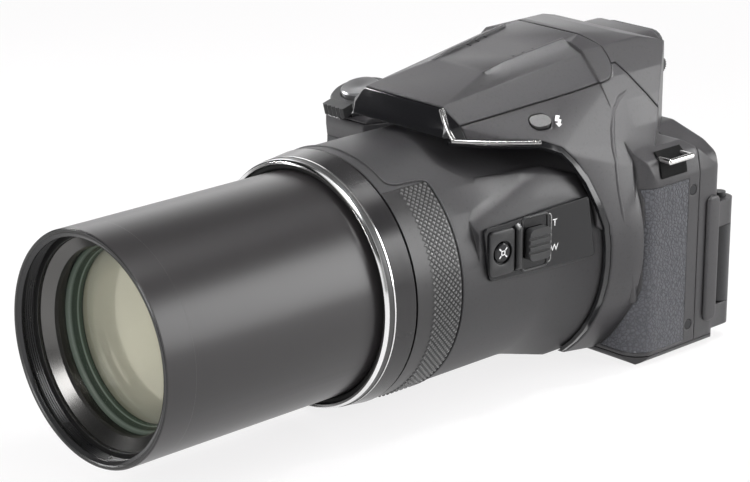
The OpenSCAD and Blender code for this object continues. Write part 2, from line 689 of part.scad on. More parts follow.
// Base plate with the openings for the socket, the screws and the battery door
module base_plate() {
  color("#232426") difference() {
    intersection() {
      union() { body_form(0); grip_form(0); }
      base_space(base_t);
    }
    translate([0, 0, -1]) cylinder(h = 10, r = socket_r + 0.1);
    span([door_x0 - seam, door_y0 - seam, -1], [door_x1 + 0.7, door_y1 + seam, base_t + 1]);
    translate([door_pin_x, door_y0 - 2.2, door_pin_z]) out_back()
      cylinder(h = door_l + 4.4, r = door_pin_r + pin_gap);
    for (s = base_screws) translate([s[0], s[1], -1]) {
      cylinder(h = 2.3, r = screw_head_r + 0.15);
      cylinder(h = 9, r = screw_r + 0.1);
    }
  }
}

// Bare gloss plate that closes the nose of the hump
module nose_plate() {
  color("#0c0c0d") difference() {
    intersection() { hump_form(0); nose_space(-seam); }
    hump_form(wall);
    lens_clear();
    under_space();
    both_sides() strip(trim_path, 0.75, 1.25);
  }
}

module trim_strip() { color("#101011") both_sides() strip(trim_path, 0.6, 1.1); }

module grip_rubber() {
  color("#1b1b1c") intersection() {
    difference() { grip_form(0); grip_form(skin_t); }
    rubber_zone(0);
  }
}

module side_leather() {
  color("#1d1f23") intersection() {
    difference() { body_form(0); body_form(skin_t); }
    leather_zone(0);
  }
}

// Fixed lens housing with its rear neck, flange, saddle and straight pin grooves
module lens_housing() {
  color("#2c2d2f") difference() {
    union() {
      turned(housing_line(0, knurl_back_t));
      turned([[0, knurl_back_t - 1], [seat_r, knurl_back_t - 1], [seat_r, collar_back_t - 0.1],
        [0, collar_back_t - 0.1]]);
      intersection() {
        turned([[0, knurl_back_t - 1], [housing_r, knurl_back_t - 1], [housing_r, collar_back_t - 0.1],
          [0, collar_back_t - 0.1]]);
        knurl_gap(-0.15);
      }
      turned([[0, neck_back_t], [neck_r1, neck_back_t], [neck_r1, body_front + 1], [0, body_front + 1]]);
      saddle(0);
    }
    turned([[0, body_front + 2], [bore_r, body_front + 2], [bore_r, 200], [0, 200]]);
    turned([[0, neck_back_t + 2], [neck_r0, neck_back_t + 2], [neck_r0, body_front + 3],
      [0, body_front + 3]]);
    turned([[0, 0], [20, 0], [20, 30], [0, 30]]);
    base_space(0.8);
    on_axis() for (a = [90, 210, 330]) rotate(a) translate([bore_r - 1, -pin_r - 0.3,
      pin_t - zoom_travel - 3])
      cube([groove_r - bore_r + 1, 2 * pin_r + 0.6, zoom_travel + 20]);
    on_axis() for (a = rod_angles) rotate(a) translate([rod_reach, 0, 0]) cylinder(h = 30,
      r = rod_r + pin_gap);
    on_axis() translate([pinion_x, pinion_z - axis_z, neck_back_t - 1])
      cylinder(h = gear_back_t + gear_w + 1 - neck_back_t + 1, r = pinion_pitch_r + gear_module + 0.9);
    on_panel() translate([-2.4, lever_y - 3.8, lever_z - stem_half - 2 - lever_travel])
      cube([3.5, 7.6, 2 * (stem_half + 2 + lever_travel)]);
    panel_out(snap_y, snap_z) translate([0, 0, -panel_t - 1.75]) cylinder(h = 4, r = 4.2);
    on_panel() prism_x(rounded(inset(panel_outline, -0.1)), 0.03, panel_t + 3);
    both_sides() strip(trim_path, 0.75, 1.25);
  }
}

module knurled_band() {
  color("#1f2022") difference() {
    turned([[seat_r + 0.05, knurl_back_t + 0.1], [housing_r - 0.25, knurl_back_t + 0.1],
      [housing_r, knurl_back_t + 0.4],
      [housing_r, collar_back_t - 4.4], [housing_r, collar_back_t - 0.2],
        [seat_r + 0.05, collar_back_t - 0.2]]);
    knurl_gap(0.15);
  }
}

module front_collar() {
  color("#232427") turned([[bore_r, collar_back_t], [housing_r - 0.4, collar_back_t],
    [housing_r + 0.2, collar_back_t + 0.8],
    [housing_r - 0.65, collar_front_t - 0.1], [bore_r, collar_front_t - 0.1]]);
}

module bright_ring() {
  color("#c9ccd0") turned([[bore_r, collar_front_t], [housing_r - 0.65, collar_front_t],
    [housing_r - 0.65, collar_front_t + 0.5], [housing_r - 0.9, collar_front_t + 0.6],
    [housing_r - 0.95, ring_t - 1.1], [housing_r - 1.2, ring_t - 0.4], [housing_r - 1.6, ring_t],
      [bore_r, ring_t - 0.3]]);
}

module barrel_seal() {
  color("#0a0a0a") turned([[barrel_r + 0.2, sleeve_front_t + 0.4], [bore_r - 0.1, sleeve_front_t + 0.4],
    [bore_r - 0.1, ring_t - 1.4], [barrel_r + 0.7, ring_t - 1.4], [barrel_r + 0.2, ring_t - 2]]);
}

// Gloss panel on the saddle with a slot for the lever and a hole for the button
module control_panel() {
  color("#0d0d0e") difference() {
    on_panel() prism_x(rounded(panel_outline), 0.08, panel_t);
    on_panel() translate([-3, lever_y - 1.95, lever_z - stem_half - 0.35 - lever_travel])
      cube([8, 3.9, 2 * (stem_half + 0.35 + lever_travel)]);
    panel_out(snap_y, snap_z) translate([0, 0, -4]) cylinder(h = 8, r = 3 + button_gap);
  }
}

module eyecup() {
  color("#141415") difference() {
    prism_y(rounded(box_outline(3 - finder_w, finder_z - 10, finder_w - 3, finder_z + 10, 5)),
      finder_y + 0.1, finder_y + 4.2);
    prism_y(rounded(box_outline(7 - finder_w, finder_z - 6.5, finder_w - 7, finder_z + 6.5, 4)),
      finder_y - 1, finder_y + 6);
  }
}

module eyepiece_lens() {
  color("#9fb4c0") translate([0, finder_y - 4.4, finder_z]) out_back()
    rotate_extrude() polygon(lens_shape(eye_r, 0, 3, 0, 0.9));
}

module finder_display() {
  color("#3a3d42") span([-7, 6.5, finder_z - 6.5], [7, body_back - wall - 0.15, finder_z + 6.5]);
}

// Wire loops that pass through the covers and close inside them
module strap_lugs() {
  color("#c4c6c9") for (k = [[body_left - 6.6, body_left + 2.4, lug_z],
    [-body_right - 2.4, 6.2 - body_right, right_lug_z]]) {
    for (y = lug_y) translate([k[0], y, k[2]]) rotate([0, 90, 0]) cylinder(h = k[1] - k[0], r = lug_wire_r);
    for (x = [k[0], k[1]]) {
      translate([x, lug_y[0], k[2]]) out_back() cylinder(h = lug_y[1] - lug_y[0], r = lug_wire_r);
      for (y = lug_y) translate([x, y, k[2]]) sphere(lug_wire_r);
    }
  }
}

module tripod_socket() {
  color("#b9bbbd") difference() {
    union() {
      cylinder(h = 7.5, r = socket_r);
      difference() {
        translate([0, 0, 4.7]) cylinder(h = 1.4, r = socket_r + 2);
        span([-socket_r - 3, -socket_r - 3, 4], [socket_r + 3, seam - neck_back_t, 7]);
      }
    }
    translate([0, 0, -1]) cylinder(h = 7.3, r = tripod_r);
  }
}

module screw(l) {
  cylinder(h = 1, r = screw_head_r);
  translate([0, 0, 0.5]) cylinder(h = l, r = screw_r);
}
module cover_screws() {
  color("#3c3d3f") {
    for (s = side_screws) translate([body_left - 0.1, s[0], s[1]]) rotate([0, -90, 0]) screw(5);
    for (s = base_screws) translate([s[0], s[1], 0.25]) screw(5.5);
  }
}

// Pressed frame: upright, foot on the base plate, stand-offs and battery bay
module chassis() {
  foot_z = base_top + 0.1;
  color("#8d9094") difference() {
    union() {
      span([-52, chassis_y0, foot_z], [40, chassis_y1, 60]);
      span([-48, -5.5, foot_z], [40, 14, foot_z + 1.6]);
      span([battery_x0 - 1.5, chassis_y0, foot_z], [-50, chassis_y1, 46]);
      for (x = [battery_x0 - 1.5, battery_x1 + 0.3])
        span([x, battery_y0, foot_z], [x + 1.2, chassis_y1, 46]);
      for (p = [[-46, 12], [34, 12], [-46, 56], [34, 56]]) translate([p[0], chassis_y1, p[1]]) out_back()
        cylinder(h = 3.4, r = 2);
    }
    translate([0, 0, -1]) cylinder(h = 12, r = socket_r + 0.15);
    translate([0, 0, 4.6]) cylinder(h = 2, r = socket_r + 2.3);
    on_axis() translate([pinion_x, pinion_z - axis_z, -20]) cylinder(h = 40, r = motor_r + pin_gap);
    for (s = base_screws) translate([s[0], s[1], 0]) cylinder(h = 10, r = screw_r + 0.1);
    span([door_pin_x - 2.5, -60, 0], [door_pin_x + 2.5, 60, foot_z + 0.7]);
  }
}

module main_board() {
  color("#1f5a3c") difference() {
    span([-50, 3.5, 8.4], [38, 5, 60]);
    on_axis() translate([pinion_x, pinion_z - axis_z, -20]) cylinder(h = 40, r = motor_r + 0.4);
  }
}

module sensor_unit() {
  color("#3b5d6e") on_axis() {
    translate([-22, -18, 2]) cube([44, 36, neck_back_t - 2.2]);
    translate([-7, -5.5, neck_back_t - 0.3]) cube([14, 11, 1.6]);
  }
}

module battery() {
  color("#303236") prism_z(rounded(box_outline(battery_x0, battery_y0, battery_x1, battery_y1, 2)),
    base_top + 0.3, battery_z1);
}

module flash_capacitor() {
  color("#25324a") translate([-46.5, chassis_y0 - capacitor_r - 0.5, 38]) cylinder(h = 22, r = capacitor_r);
}

module guide_rods() {
  color("#b0b3b6") on_axis() for (a = rod_angles) rotate(a) translate([rod_reach, 0, neck_back_t])
    cylinder(h = rod_front_t - neck_back_t, r = rod_r);
}

module zoom_motor() {
  color("#77797c") on_axis() translate([pinion_x, pinion_z - axis_z, 0]) difference() {
    translate([0, 0, -9]) cylinder(h = 14.6, r = motor_r);
    translate([0, 0, 1.4]) cylinder(h = 6, r = 1 + pin_gap);
  }
}

// Zoom barrel with the seat of the front glass
module lens_barrel() {
  color("#3a3b3e") difference() {
    turned([[barrel_r, barrel_back_t], [barrel_r, barrel_front_t - 0.1],
      [filter_r - 0.4, barrel_front_t - 0.1],
      [filter_r - 0.4, glass_front_t + 1.8], [glass_r + 0.1, glass_front_t + 1.8],
        [glass_r + 0.1, glass_back_t],
      [glass_r - 0.9, glass_back_t], [inner_glass_r + 0.3, inner_front_t + 0.2],
        [inner_glass_r + 0.1, inner_front_t],
      [inner_glass_r + 0.1, inner_back_t], [inner_glass_r - 2, inner_back_t - 0.2],
        [inner_glass_r - 2, inner_back_t - 2],
      [barrel_r - barrel_wall, inner_back_t - 4],
      [barrel_r - barrel_wall, barrel_back_t]]);
    on_axis() for (a = [90, 210, 330]) rotate(a) translate([barrel_r - 5, 0, pin_t]) rotate([0, 90, 0])
      cylinder(h = 10, r = pin_r + pin_gap);
  }
}

module filter_ring() {
  color("#141415") turned([[filter_r - 1.9, barrel_front_t], [barrel_r, barrel_front_t],
    [barrel_r, rim_t - 0.5],
    [barrel_r - 0.4, rim_t], [filter_r + 0.4, rim_t], [filter_r, rim_t - 0.4],
      [filter_r, barrel_front_t + 0.8],
    [filter_r - 1.9, barrel_front_t + 0.8]]);
}

module lens_retainer() {
  color("#101011") turned([[glass_r - 1.2, glass_front_t + 1.95], [filter_r - 0.5, glass_front_t + 1.95],
    [filter_r - 0.5, barrel_front_t - 0.2], [filter_r - 2.2, barrel_front_t - 0.2],
      [glass_r - 0.8, glass_front_t + 3.2]]);
}

// Front meniscus and the coated glass at the foot of the well behind it
module front_lens() {
  color("#5c6e3c") {
    turned(lens_shape(glass_r, glass_back_t + 0.1, glass_front_t, -1.2, 2.2));
    turned(lens_shape(inner_glass_r, inner_back_t + 0.1, inner_front_t, 0, 3));
  }
}

module follower_pins() {
  color("#c2b27a") on_axis() for (a = [90, 210, 330]) rotate(a)
    translate([barrel_r - barrel_wall, 0, pin_t]) rotate([0, 90, 0])
      cylinder(h = groove_r - 0.25 - barrel_r + barrel_wall, r = pin_r);
}

// Turning sleeve: helical slots carry the pins, the rear gear turns it
module cam_sleeve() {
  slot_half = (pin_r + 0.4) / cos(atan2(cam_turn * PI / 180 * sleeve_r1, zoom_travel)) / sleeve_r1 * 180 / PI;
  slot_h = zoom_travel + 2 * (pin_r + 0.5);
  slot_turn = cam_turn * slot_h / zoom_travel;
  r0 = sleeve_r0 - 1;
  r1 = sleeve_r1 + 1;
  color("#55585c") difference() {
    union() {
      turned([[inner_r, sleeve_back_t], [sleeve_r1, sleeve_back_t], [sleeve_r1, sleeve_front_t],
        [sleeve_r0, sleeve_front_t], [sleeve_r0, sleeve_back_t + 1.5], [inner_r, sleeve_back_t + 1.5]]);
      turned([[inner_r, gear_back_t], [inner_r + 1.5, gear_back_t], [inner_r + 1.5, sleeve_back_t + 1],
        [inner_r, sleeve_back_t + 1]]);
      on_axis() difference() {
        translate([0, 0, gear_back_t]) linear_extrude(gear_w)
          polygon(teeth(gear_teeth, gear_pitch_r - 1.2 * gear_module, gear_pitch_r + 0.85 * gear_module,
            0.3, 0.13,
            pinion_angle + 180 / gear_teeth));
        translate([0, 0, gear_back_t - 1]) cylinder(h = gear_w + 2, r = inner_r);
      }
    }
    on_axis() for (a = [90, 210, 330])
      rotate(a - cam_turn - (slot_turn - cam_turn) / 2) translate([0, 0, pin_t - zoom_travel - pin_r - 0.5])
        linear_extrude(slot_h, twist = -slot_turn, slices = 40, segments = 4)
          polygon([r0 * [cos(slot_half), -sin(slot_half)], r1 * [cos(slot_half), -sin(slot_half)],
            r1 * [cos(slot_half), sin(slot_half)], r0 * [cos(slot_half), sin(slot_half)]]);
  }
}

module drive_pinion() {
  color("#c2b27a") on_axis() translate([pinion_x, pinion_z - axis_z, 0]) {
    translate([0, 0, gear_back_t]) linear_extrude(gear_w)
      polygon(teeth(pinion_teeth, pinion_pitch_r - 1.2 * gear_module, pinion_pitch_r + 0.85 * gear_module,
        0.3, 0.13,
        pinion_angle + 180));
    translate([0, 0, 1.6]) cylinder(h = gear_back_t - 1, r = 1);
  }
}

// Carrier that runs on the guide rods
module carrier(t, h, r0, r1) {
  on_axis() translate([0, 0, t]) difference() {
    union() {
      cylinder(h = h, r = r1);
      for (a = rod_angles) rotate(a) {
        translate([rod_reach, 0, 0]) cylinder(h = h, r = rod_r + 1.8);
        translate([r1 - 1, -2, 0]) cube([rod_reach - r1, 4, h]);
      }
    }
    translate([0, 0, -1]) cylinder(h = h + 2, r = r0);
    for (a = rod_angles) rotate(a) translate([rod_reach, 0, -1]) cylinder(h = h + 2, r = rod_r + pin_gap);
  }
}
module variator_cell() { color("#26272a") carrier(variator_t, variator_len, 13.1, 17); }
module variator_lens() { color("#6f8f9a") turned(lens_shape(13, variator_t + 1.5, variator_t + 5, -0.6,
  -0.8)); }
module focus_lens() {
  color("#6f8f9a") {
    carrier(focus_t, focus_len, 11, 16);
    turned(lens_shape(11.5, focus_t + 1, focus_t + 3, 0.8, 0.8));
  }
}

// Pop-up flash head: open below, with the hinge pin across its rear
module flash_head() {
  color("#2b2c2e") {
    difference() {
      intersection() {
        union() { hump_form(0); body_form(0); }
        flash_space(0);
      }
      hump_form(flash_wall);
      both_sides() for (m = [[10.4, -36], [10.8, -31.9], [11.3, -27.9]])
        translate([m[0] - 1.5, m[1] - 0.35, hump_z - 12]) cube([3, 0.7, 20]);
    }
    flash_pin(flash_pin_r);
    both_sides() point_hull([for (k = [[10.4, -51, hump_z - 5.8, 0.2], [10.8, -43, hump_z - 4.8, rim_up],
      [12.3, -17, hump_z - 1.5, rim_up]],
      p = [[0, -1], [0, k[3]], [0.9, k[3] - 0.1], [6.5, -2.8], [6.5, -3.6]])
      [k[0] + p[0], k[1], k[2] + p[1]]]);
  }
}
module flash_lamp() {
  color("#d8dadb") intersection() {
    span([-12.5, 8.5 - nose_y, seam_front[1] + 0.8], [12.5, 19 - nose_y, hump_z - 6]);
    hump_form(flash_wall + 0.12);
  }
}
module flash_button() { color("#232426") on_flash_side() translate([0, 0, -2.2]) pill(flash_key[0],
  flash_key[1], 2.9); }

// Rocker for the side zoom, with its stem and inner plate
module side_zoom_lever() {
  color("#1c1c1e") on_panel() {
    difference() {
      translate([panel_t + 0.35, 0, 0])
        prism_x(rounded(box_outline(lever_y - 4.2, lever_z - lever_half, lever_y + 4.2,
          lever_z + lever_half, 1.6)), 0, 2.6);
      for (k = [-1:1]) translate([panel_t + 2.4, lever_y - 5, lever_z + k * 2.2 - 0.45]) cube([2, 10, 0.9]);
    }
    translate([-1.2, lever_y - 1.6, lever_z - stem_half]) cube([panel_t + 2, 3.2, 2 * stem_half]);
    translate([-2, lever_y - 3.4, lever_z - stem_half - 1.6]) cube([1.6, 6.8, 2 * stem_half + 3.2]);
  }
}
module snapback_button() {
  color("#1c1c1e") panel_out(snap_y, snap_z) rotate_extrude() polygon([[0, -panel_t - 0.85],
    [3.9, -panel_t - 0.85],
    [3.9, -panel_t - 0.15], [3, -panel_t - 0.15], [3, 0.6], [2.6, 0.95], [0, 1]]);
}

module shutter_button() {
  color("#b7b9bc") on_slope() rotate_extrude() polygon([[0, -wall - 1.6], [shutter_r, -wall - 1.6],
    [shutter_r, 5.6],
    [shutter_r - 0.5, 6.1], [shutter_r - 2.4, 6], [0, 5.6]]);
}
module zoom_lever() {
  color("#232426") on_slope() {
    rotate_extrude() polygon([[lever_in, -wall - 1.7], [lever_in + 1.5, -wall - 1.7],
      [lever_in + 1.5, -wall - 0.3],
      [lever_in + 1.1, -wall - 0.3], [lever_in + 1.1, seam], [lever_out, seam], [lever_out, 3.4],
      [lever_out - 0.6, 4], [lever_in, 4]]);
    translate([0, 0, 0.8]) linear_extrude(3.6) polygon(concat([[5, -lever_out + 1.5], [-5, -lever_out + 1.5]],
      [for (i = [0:10]) [-5 + i, -lever_out - 2.6 - (i % 2) * 0.7]]));
  }
}
module power_button() { color("#2a2b2d") translate([power_xy[0], power_xy[1], deck_z]) cap(5); }
module fn_button() { color("#2a2b2d") translate([fn_xy[0], fn_xy[1], deck_z]) cap(4, lip = 0.6); }
module mode_dial() { color("#1d1e20") translate([mode_xy[0], mode_xy[1], deck_z]) dial(mode_r, 8, 36); }
module command_dial() { color("#1d1e20") translate([command_xy[0], command_xy[1], deck_z]) dial(command_r,
  3, 30); }

// Swing-out monitor: arm on the body knuckles, panel on the arm's stub
module monitor_arm() {
  color("#232426") {
    translate([hinge_x, hinge_y, arm_z0]) cylinder(h = arm_z1 - arm_z0, r = knuckle_r);
    translate([hinge_x, hinge_y, monitor_z0 + 2.5]) cylinder(h = 43, r = hinge_pin_r);
    span([hinge_x - arm_reach, hinge_y - 3, arm_z0], [hinge_x, hinge_y + 3.2, arm_z1]);
    translate([hinge_x - arm_reach - stub_len, hinge_y, tilt_z]) rotate([0, 90, 0])
      cylinder(h = stub_len + 1, r = stub_r);
  }
}
monitor_y0 = body_back + monitor_gap;
monitor_y1 = monitor_y0 + monitor_t;
module monitor_panel() {
  color("#1b1c1e") difference() {
    prism_y(rounded(box_outline(monitor_x0, monitor_z0, monitor_x1, monitor_z0 + monitor_h, 3)), monitor_y0,
      monitor_y1);
    span([monitor_x0 + 4, monitor_y1 - 0.8, monitor_z0 + 4],
      [monitor_x1 - 5, monitor_y1 + 1, monitor_z0 + monitor_h - 4]);
    translate([monitor_x1 - stub_len - 0.2, hinge_y, tilt_z]) rotate([0, 90, 0])
      cylinder(h = stub_len + 1, r = stub_r + pin_gap);
  }
}
module monitor_glass() {
  color("#08090b") span([monitor_x0 + 4.1, monitor_y1 - 0.75, monitor_z0 + 4.1],
    [monitor_x1 - 5.1, monitor_y1 - 0.05, monitor_z0 + monitor_h - 4.1]);
}

module selector_ring() {
  color("#1f2022") translate([selector_xz[0], body_back, selector_xz[1]]) out_back() rotate_extrude()
    polygon([[ok_r + 0.5, -wall - 1.7], [ok_r + 3, -wall - 1.7], [ok_r + 3, -wall - 0.3],
      [ok_r + 1.7, -wall - 0.3],
      [ok_r + 1.7, seam], [selector_r, seam], [selector_r, 1.8], [selector_r - 0.6, 2.4], [ok_r + 0.5, 2]]);
}
module ok_button() {
  color("#2a2b2d") translate([selector_xz[0], body_back, selector_xz[1]]) out_back() rotate_extrude()
    polygon([[0, -wall - 1.5], [ok_r, -wall - 1.5], [ok_r, 1.9], [ok_r - 0.5, 2.4], [0, 2.5]]);
}
module rear_button(at) { translate([at[0], body_back, at[1]]) out_back() cap(button_r); }
module movie_button() { color("#8a2323") rear_button(rear_keys[0]); }
module playback_button() { color("#2a2b2d") rear_button(rear_keys[1]); }
module menu_button() { color("#2a2b2d") rear_button(rear_keys[2]); }
module delete_button() { color("#2a2b2d") rear_button(rear_keys[3]); }
module dioptre_dial() {
  color("#1d1e20") translate([finder_w, dioptre_y, dioptre_z]) rotate([0, 90, 0]) {
    translate([0, 0, 0.25]) linear_extrude(1.2) polygon(teeth(20, dioptre_r - 0.3, dioptre_r, 0.32, 0.18));
    translate([0, 0, -4.2]) cylinder(h = 5, r = 1.5);
  }
}

module battery_door() {
  color("#232426") {
    prism_z(rounded(box_outline(door_x0, door_y0, door_x1, door_y1, 1)), 0.05, base_t);
    translate([door_pin_x, door_y0 - 2, door_pin_z]) out_back() cylinder(h = door_l + 4, r = door_pin_r);
  }
}
module connector_cover() {
  color("#1f2022") {
    span([-body_right, port_y0, port_z0], [port_t - body_right, port_y1, port_z1]);
    translate([port_pin_x, port_pin_y, port_z0 - 1.4]) cylinder(h = port_z1 - port_z0 + 2.8, r = port_pin_r);
  }
}

front_cover();
rear_cover();
top_cover();
base_plate();
nose_plate();
trim_strip();
grip_rubber();
side_leather();
lens_housing();
knurled_band();
front_collar();
bright_ring();
barrel_seal();
control_panel();
eyecup();
eyepiece_lens();
finder_display();
strap_lugs();
tripod_socket();
cover_screws();
chassis();
main_board();
sensor_unit();
battery();
flash_capacitor();
guide_rods();
zoom_motor();
lens_barrel();
filter_ring();
lens_retainer();
front_lens();
follower_pins();
cam_sleeve();
drive_pinion();
variator_cell();
variator_lens();
focus_lens();
flash_head();
flash_lamp();
flash_button();
side_zoom_lever();
snapback_button();
shutter_button();
zoom_lever();
power_button();
mode_dial();
command_dial();
fn_button();
monitor_arm();
monitor_panel();
monitor_glass();
selector_ring();
ok_button();
movie_button();
playback_button();
menu_button();
delete_button();
dioptre_dial();
battery_door();
connector_cover();
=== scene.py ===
"""Looks of a bridge camera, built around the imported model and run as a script."""

import math

import bpy
from bpy.props import FloatProperty, FloatVectorProperty, IntProperty, PointerProperty
from mathutils import Matrix, Vector


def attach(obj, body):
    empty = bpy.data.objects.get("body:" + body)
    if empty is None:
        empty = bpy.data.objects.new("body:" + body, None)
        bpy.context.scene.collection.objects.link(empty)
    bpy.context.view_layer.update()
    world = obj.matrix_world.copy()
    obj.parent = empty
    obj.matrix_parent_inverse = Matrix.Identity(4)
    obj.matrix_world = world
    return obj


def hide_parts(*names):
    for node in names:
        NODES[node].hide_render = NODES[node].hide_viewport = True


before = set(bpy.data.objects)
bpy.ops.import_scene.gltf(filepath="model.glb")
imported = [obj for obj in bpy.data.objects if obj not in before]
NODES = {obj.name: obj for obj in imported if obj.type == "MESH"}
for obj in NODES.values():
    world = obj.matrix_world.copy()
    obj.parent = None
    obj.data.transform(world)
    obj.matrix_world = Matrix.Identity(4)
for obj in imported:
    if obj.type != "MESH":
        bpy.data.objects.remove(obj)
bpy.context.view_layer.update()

bl_info = {
    "name": "Bridge camera looks",
    "version": (1, 0, 0),
    "blender": (4, 5, 0),
    "location": "View3D > Sidebar > Camera looks",
    "description": "Finishes and fine detail for a bridge camera with a long zoom lens",
    "category": "Object",
}

BODY = "camera_body"

# One millimetre in metres, and how near two points lie that become one
MM = 0.001
MERGE_GAP = 0.000002
WELD_GAP = 0.000005

# Heights of the lens axis and the deck, and places of the back and its keys, in millimetres
AXIS_Z = 40.5
DECK_Z = 69
BACK_Y = 22.2
REAR_KEY_Y = BACK_Y + 1.35

# Plane of the control panel beside the lens, turned a little about the vertical
PANEL_TURN = Matrix.Rotation(math.radians(-4.75), 4, "Z")
PANEL = Matrix.Translation(Vector((38.6, -80, 0))) @ PANEL_TURN
PANEL_TOP = 1.1

# Plane of the flash button on the slope of the hump: its middle, its length and its way out
FLASH_AT = (30.6, -46.2, 83.55)
FLASH_LONG = (0.26, 0.96, 0.065)
FLASH_OUT = (0.457, -0.183, 0.870)


def plane_matrix(at, along, out):
    """Matrix whose x runs along, z runs out, with its origin at a point in millimetres."""
    along = Vector(along)
    out = Vector(out).normalized()
    along = (along - along.dot(out) * out).normalized()
    side = out.cross(along)
    turn = Matrix((along, side, out)).transposed().to_4x4()
    return Matrix.Translation(Vector(at)) @ turn


# Modelling helpers

def clear_selection():
    """Go to object mode with nothing selected."""
    if bpy.context.object and bpy.context.object.mode != "OBJECT":
        bpy.ops.object.mode_set(mode="OBJECT")
    bpy.ops.object.select_all(action="DESELECT")


def activate(obj):
    """Select one object alone and make it active."""
    clear_selection()
    obj.select_set(True)
    bpy.context.view_layer.objects.active = obj


def apply_modifier(obj, kind, **settings):
    """Add a modifier to a new piece and apply it."""
    activate(obj)
    modifier = obj.modifiers.new(kind.title(), kind)
    for key, value in settings.items():
        setattr(modifier, key, value)
    bpy.ops.object.modifier_apply(modifier=modifier.name)


def soften(obj, width, segments=2):
    """Round the sharp edges of a new piece."""
    apply_modifier(obj, "BEVEL", width=width * MM, segments=segments, limit_method="ANGLE",
                   angle_limit=math.radians(35), use_clamp_overlap=True)


def mend_mesh(obj):
    """Merge doubles and turn the faces outwards."""
    activate(obj)
    bpy.ops.object.mode_set(mode="EDIT")
    bpy.ops.mesh.select_mode(type="VERT")
    bpy.ops.mesh.select_all(action="SELECT")
    bpy.ops.mesh.remove_doubles(threshold=MERGE_GAP)
    bpy.ops.mesh.normals_make_consistent(inside=False)
    bpy.ops.object.mode_set(mode="OBJECT")


def draw_line(name, points):
    """Draw a line of edges through points in millimetres by extruding one vertex."""
    clear_selection()
    bpy.ops.mesh.primitive_plane_add(size=MM)
    obj = bpy.context.object
    obj.name = name
    obj.data.name = name
    bpy.ops.object.mode_set(mode="EDIT")
    bpy.ops.mesh.select_mode(type="VERT")
    bpy.ops.mesh.select_all(action="SELECT")
    bpy.ops.mesh.merge(type="CENTER")
    points = [Vector(p) * MM for p in points]
    bpy.ops.transform.translate(value=points[0])
    for before, after in zip(points, points[1:]):
        bpy.ops.mesh.extrude_region_move(TRANSFORM_OT_translate={"value": after - before})
    return obj


def turn_profile(name, profile, steps=96):
    """Spin a line of (radius, distance ahead) points round the lens axis."""
    obj = draw_line(name, [(r, -t, AXIS_Z) for r, t in profile])
    bpy.ops.mesh.select_all(action="SELECT")
    bpy.ops.mesh.spin(steps=steps, angle=math.tau, center=(0, 0, AXIS_Z * MM), axis=(0, 1, 0))
    mend_mesh(obj)
    return obj


def cut_plate(name, place, points, bottom, top):
    """Fill an outline of flat points and give it thickness along the plane's own z."""
    obj = draw_line(name, [place @ Vector((u, v, bottom)) for u, v in points])
    bpy.ops.mesh.select_all(action="SELECT")
    bpy.ops.mesh.edge_face_add()
    lift = (place.to_3x3() @ Vector((0, 0, top - bottom))) * MM
    bpy.ops.mesh.extrude_region_move(TRANSFORM_OT_translate={"value": lift})
    mend_mesh(obj)
    return obj


def draw_wire(name, points, radius, closed=False):
    """Draw a round wire through points in millimetres."""
    obj = draw_line(name, points)
    if closed:
        bpy.ops.mesh.select_all(action="SELECT")
        bpy.ops.mesh.remove_doubles(threshold=MERGE_GAP)
    bpy.ops.object.mode_set(mode="OBJECT")
    activate(obj)
    bpy.ops.object.convert(target="CURVE")
    obj = bpy.context.object
    obj.data.bevel_depth = radius * MM
    obj.data.bevel_resolution = 2
    obj.data.use_fill_caps = True
    bpy.ops.object.convert(target="MESH")
    obj = bpy.context.object
    mend_mesh(obj)
    return obj


def round_box(u0, v0, u1, v1, r):
    """Outline of a rounded rectangle as flat points."""
    steps = 5
    points = []
    corners = ((u1 - r, v1 - r, 0), (u0 + r, v1 - r, 90), (u0 + r, v0 + r, 180), (u1 - r, v0 + r, 270))
    for cu, cv, a0 in corners:
        for k in range(steps + 1):
            a = math.radians(a0 + 90 * k / steps)
            points.append((cu + r * math.cos(a), cv + r * math.sin(a)))
    return points


def add_words(name, words, place, size):
    """Raise thin lettering on a plane, centred on its origin."""
    lift = 0.06
    clear_selection()
    bpy.ops.object.text_add()
    obj = bpy.context.object
    obj.name = name
    obj.data.body = words
    obj.data.size = size * MM
    obj.data.align_x = "CENTER"
    obj.data.align_y = "CENTER"
    obj.data.extrude = lift * MM / 2
    obj.data.resolution_u = 3
    bpy.ops.object.convert(target="MESH")
    obj = bpy.context.object
    turn = place.to_3x3().to_4x4()
    at = place.translation + place.to_3x3() @ Vector((0, 0, lift / 2))
    obj.data.transform(Matrix.Translation(at * MM) @ turn)
    mend_mesh(obj)
    return obj


def join_pieces(name, pieces):
    """Join new pieces into one object."""
    clear_selection()
    for obj in pieces:
        obj.select_set(True)
    bpy.context.view_layer.objects.active = pieces[0]
    bpy.ops.object.join()
    obj = bpy.context.object
    obj.name = name
    obj.data.name = name
    return obj


def hand_over(obj, body, material, angle=35):
    """Finish a new piece: its finish, its shading and the body it moves with."""
    activate(obj)
    obj.data.materials.clear()
    obj.data.materials.append(material)
    bpy.ops.object.shade_smooth_by_angle(angle=math.radians(angle))
    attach(obj, body)


# Material helpers

# Finishes made so far, by name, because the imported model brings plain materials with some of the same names
FINISHES = {}


def fill_ramp(node, stops):
    """Set a colour ramp's (place, grey or colour) stops."""
    points = node.color_ramp.elements
    while len(points) < len(stops):
        points.new(0.5)
    for point, (at, shade) in zip(points, stops):
        point.position = at
        point.color = (*shade, 1) if isinstance(shade, tuple) else (shade, shade, shade, 1)


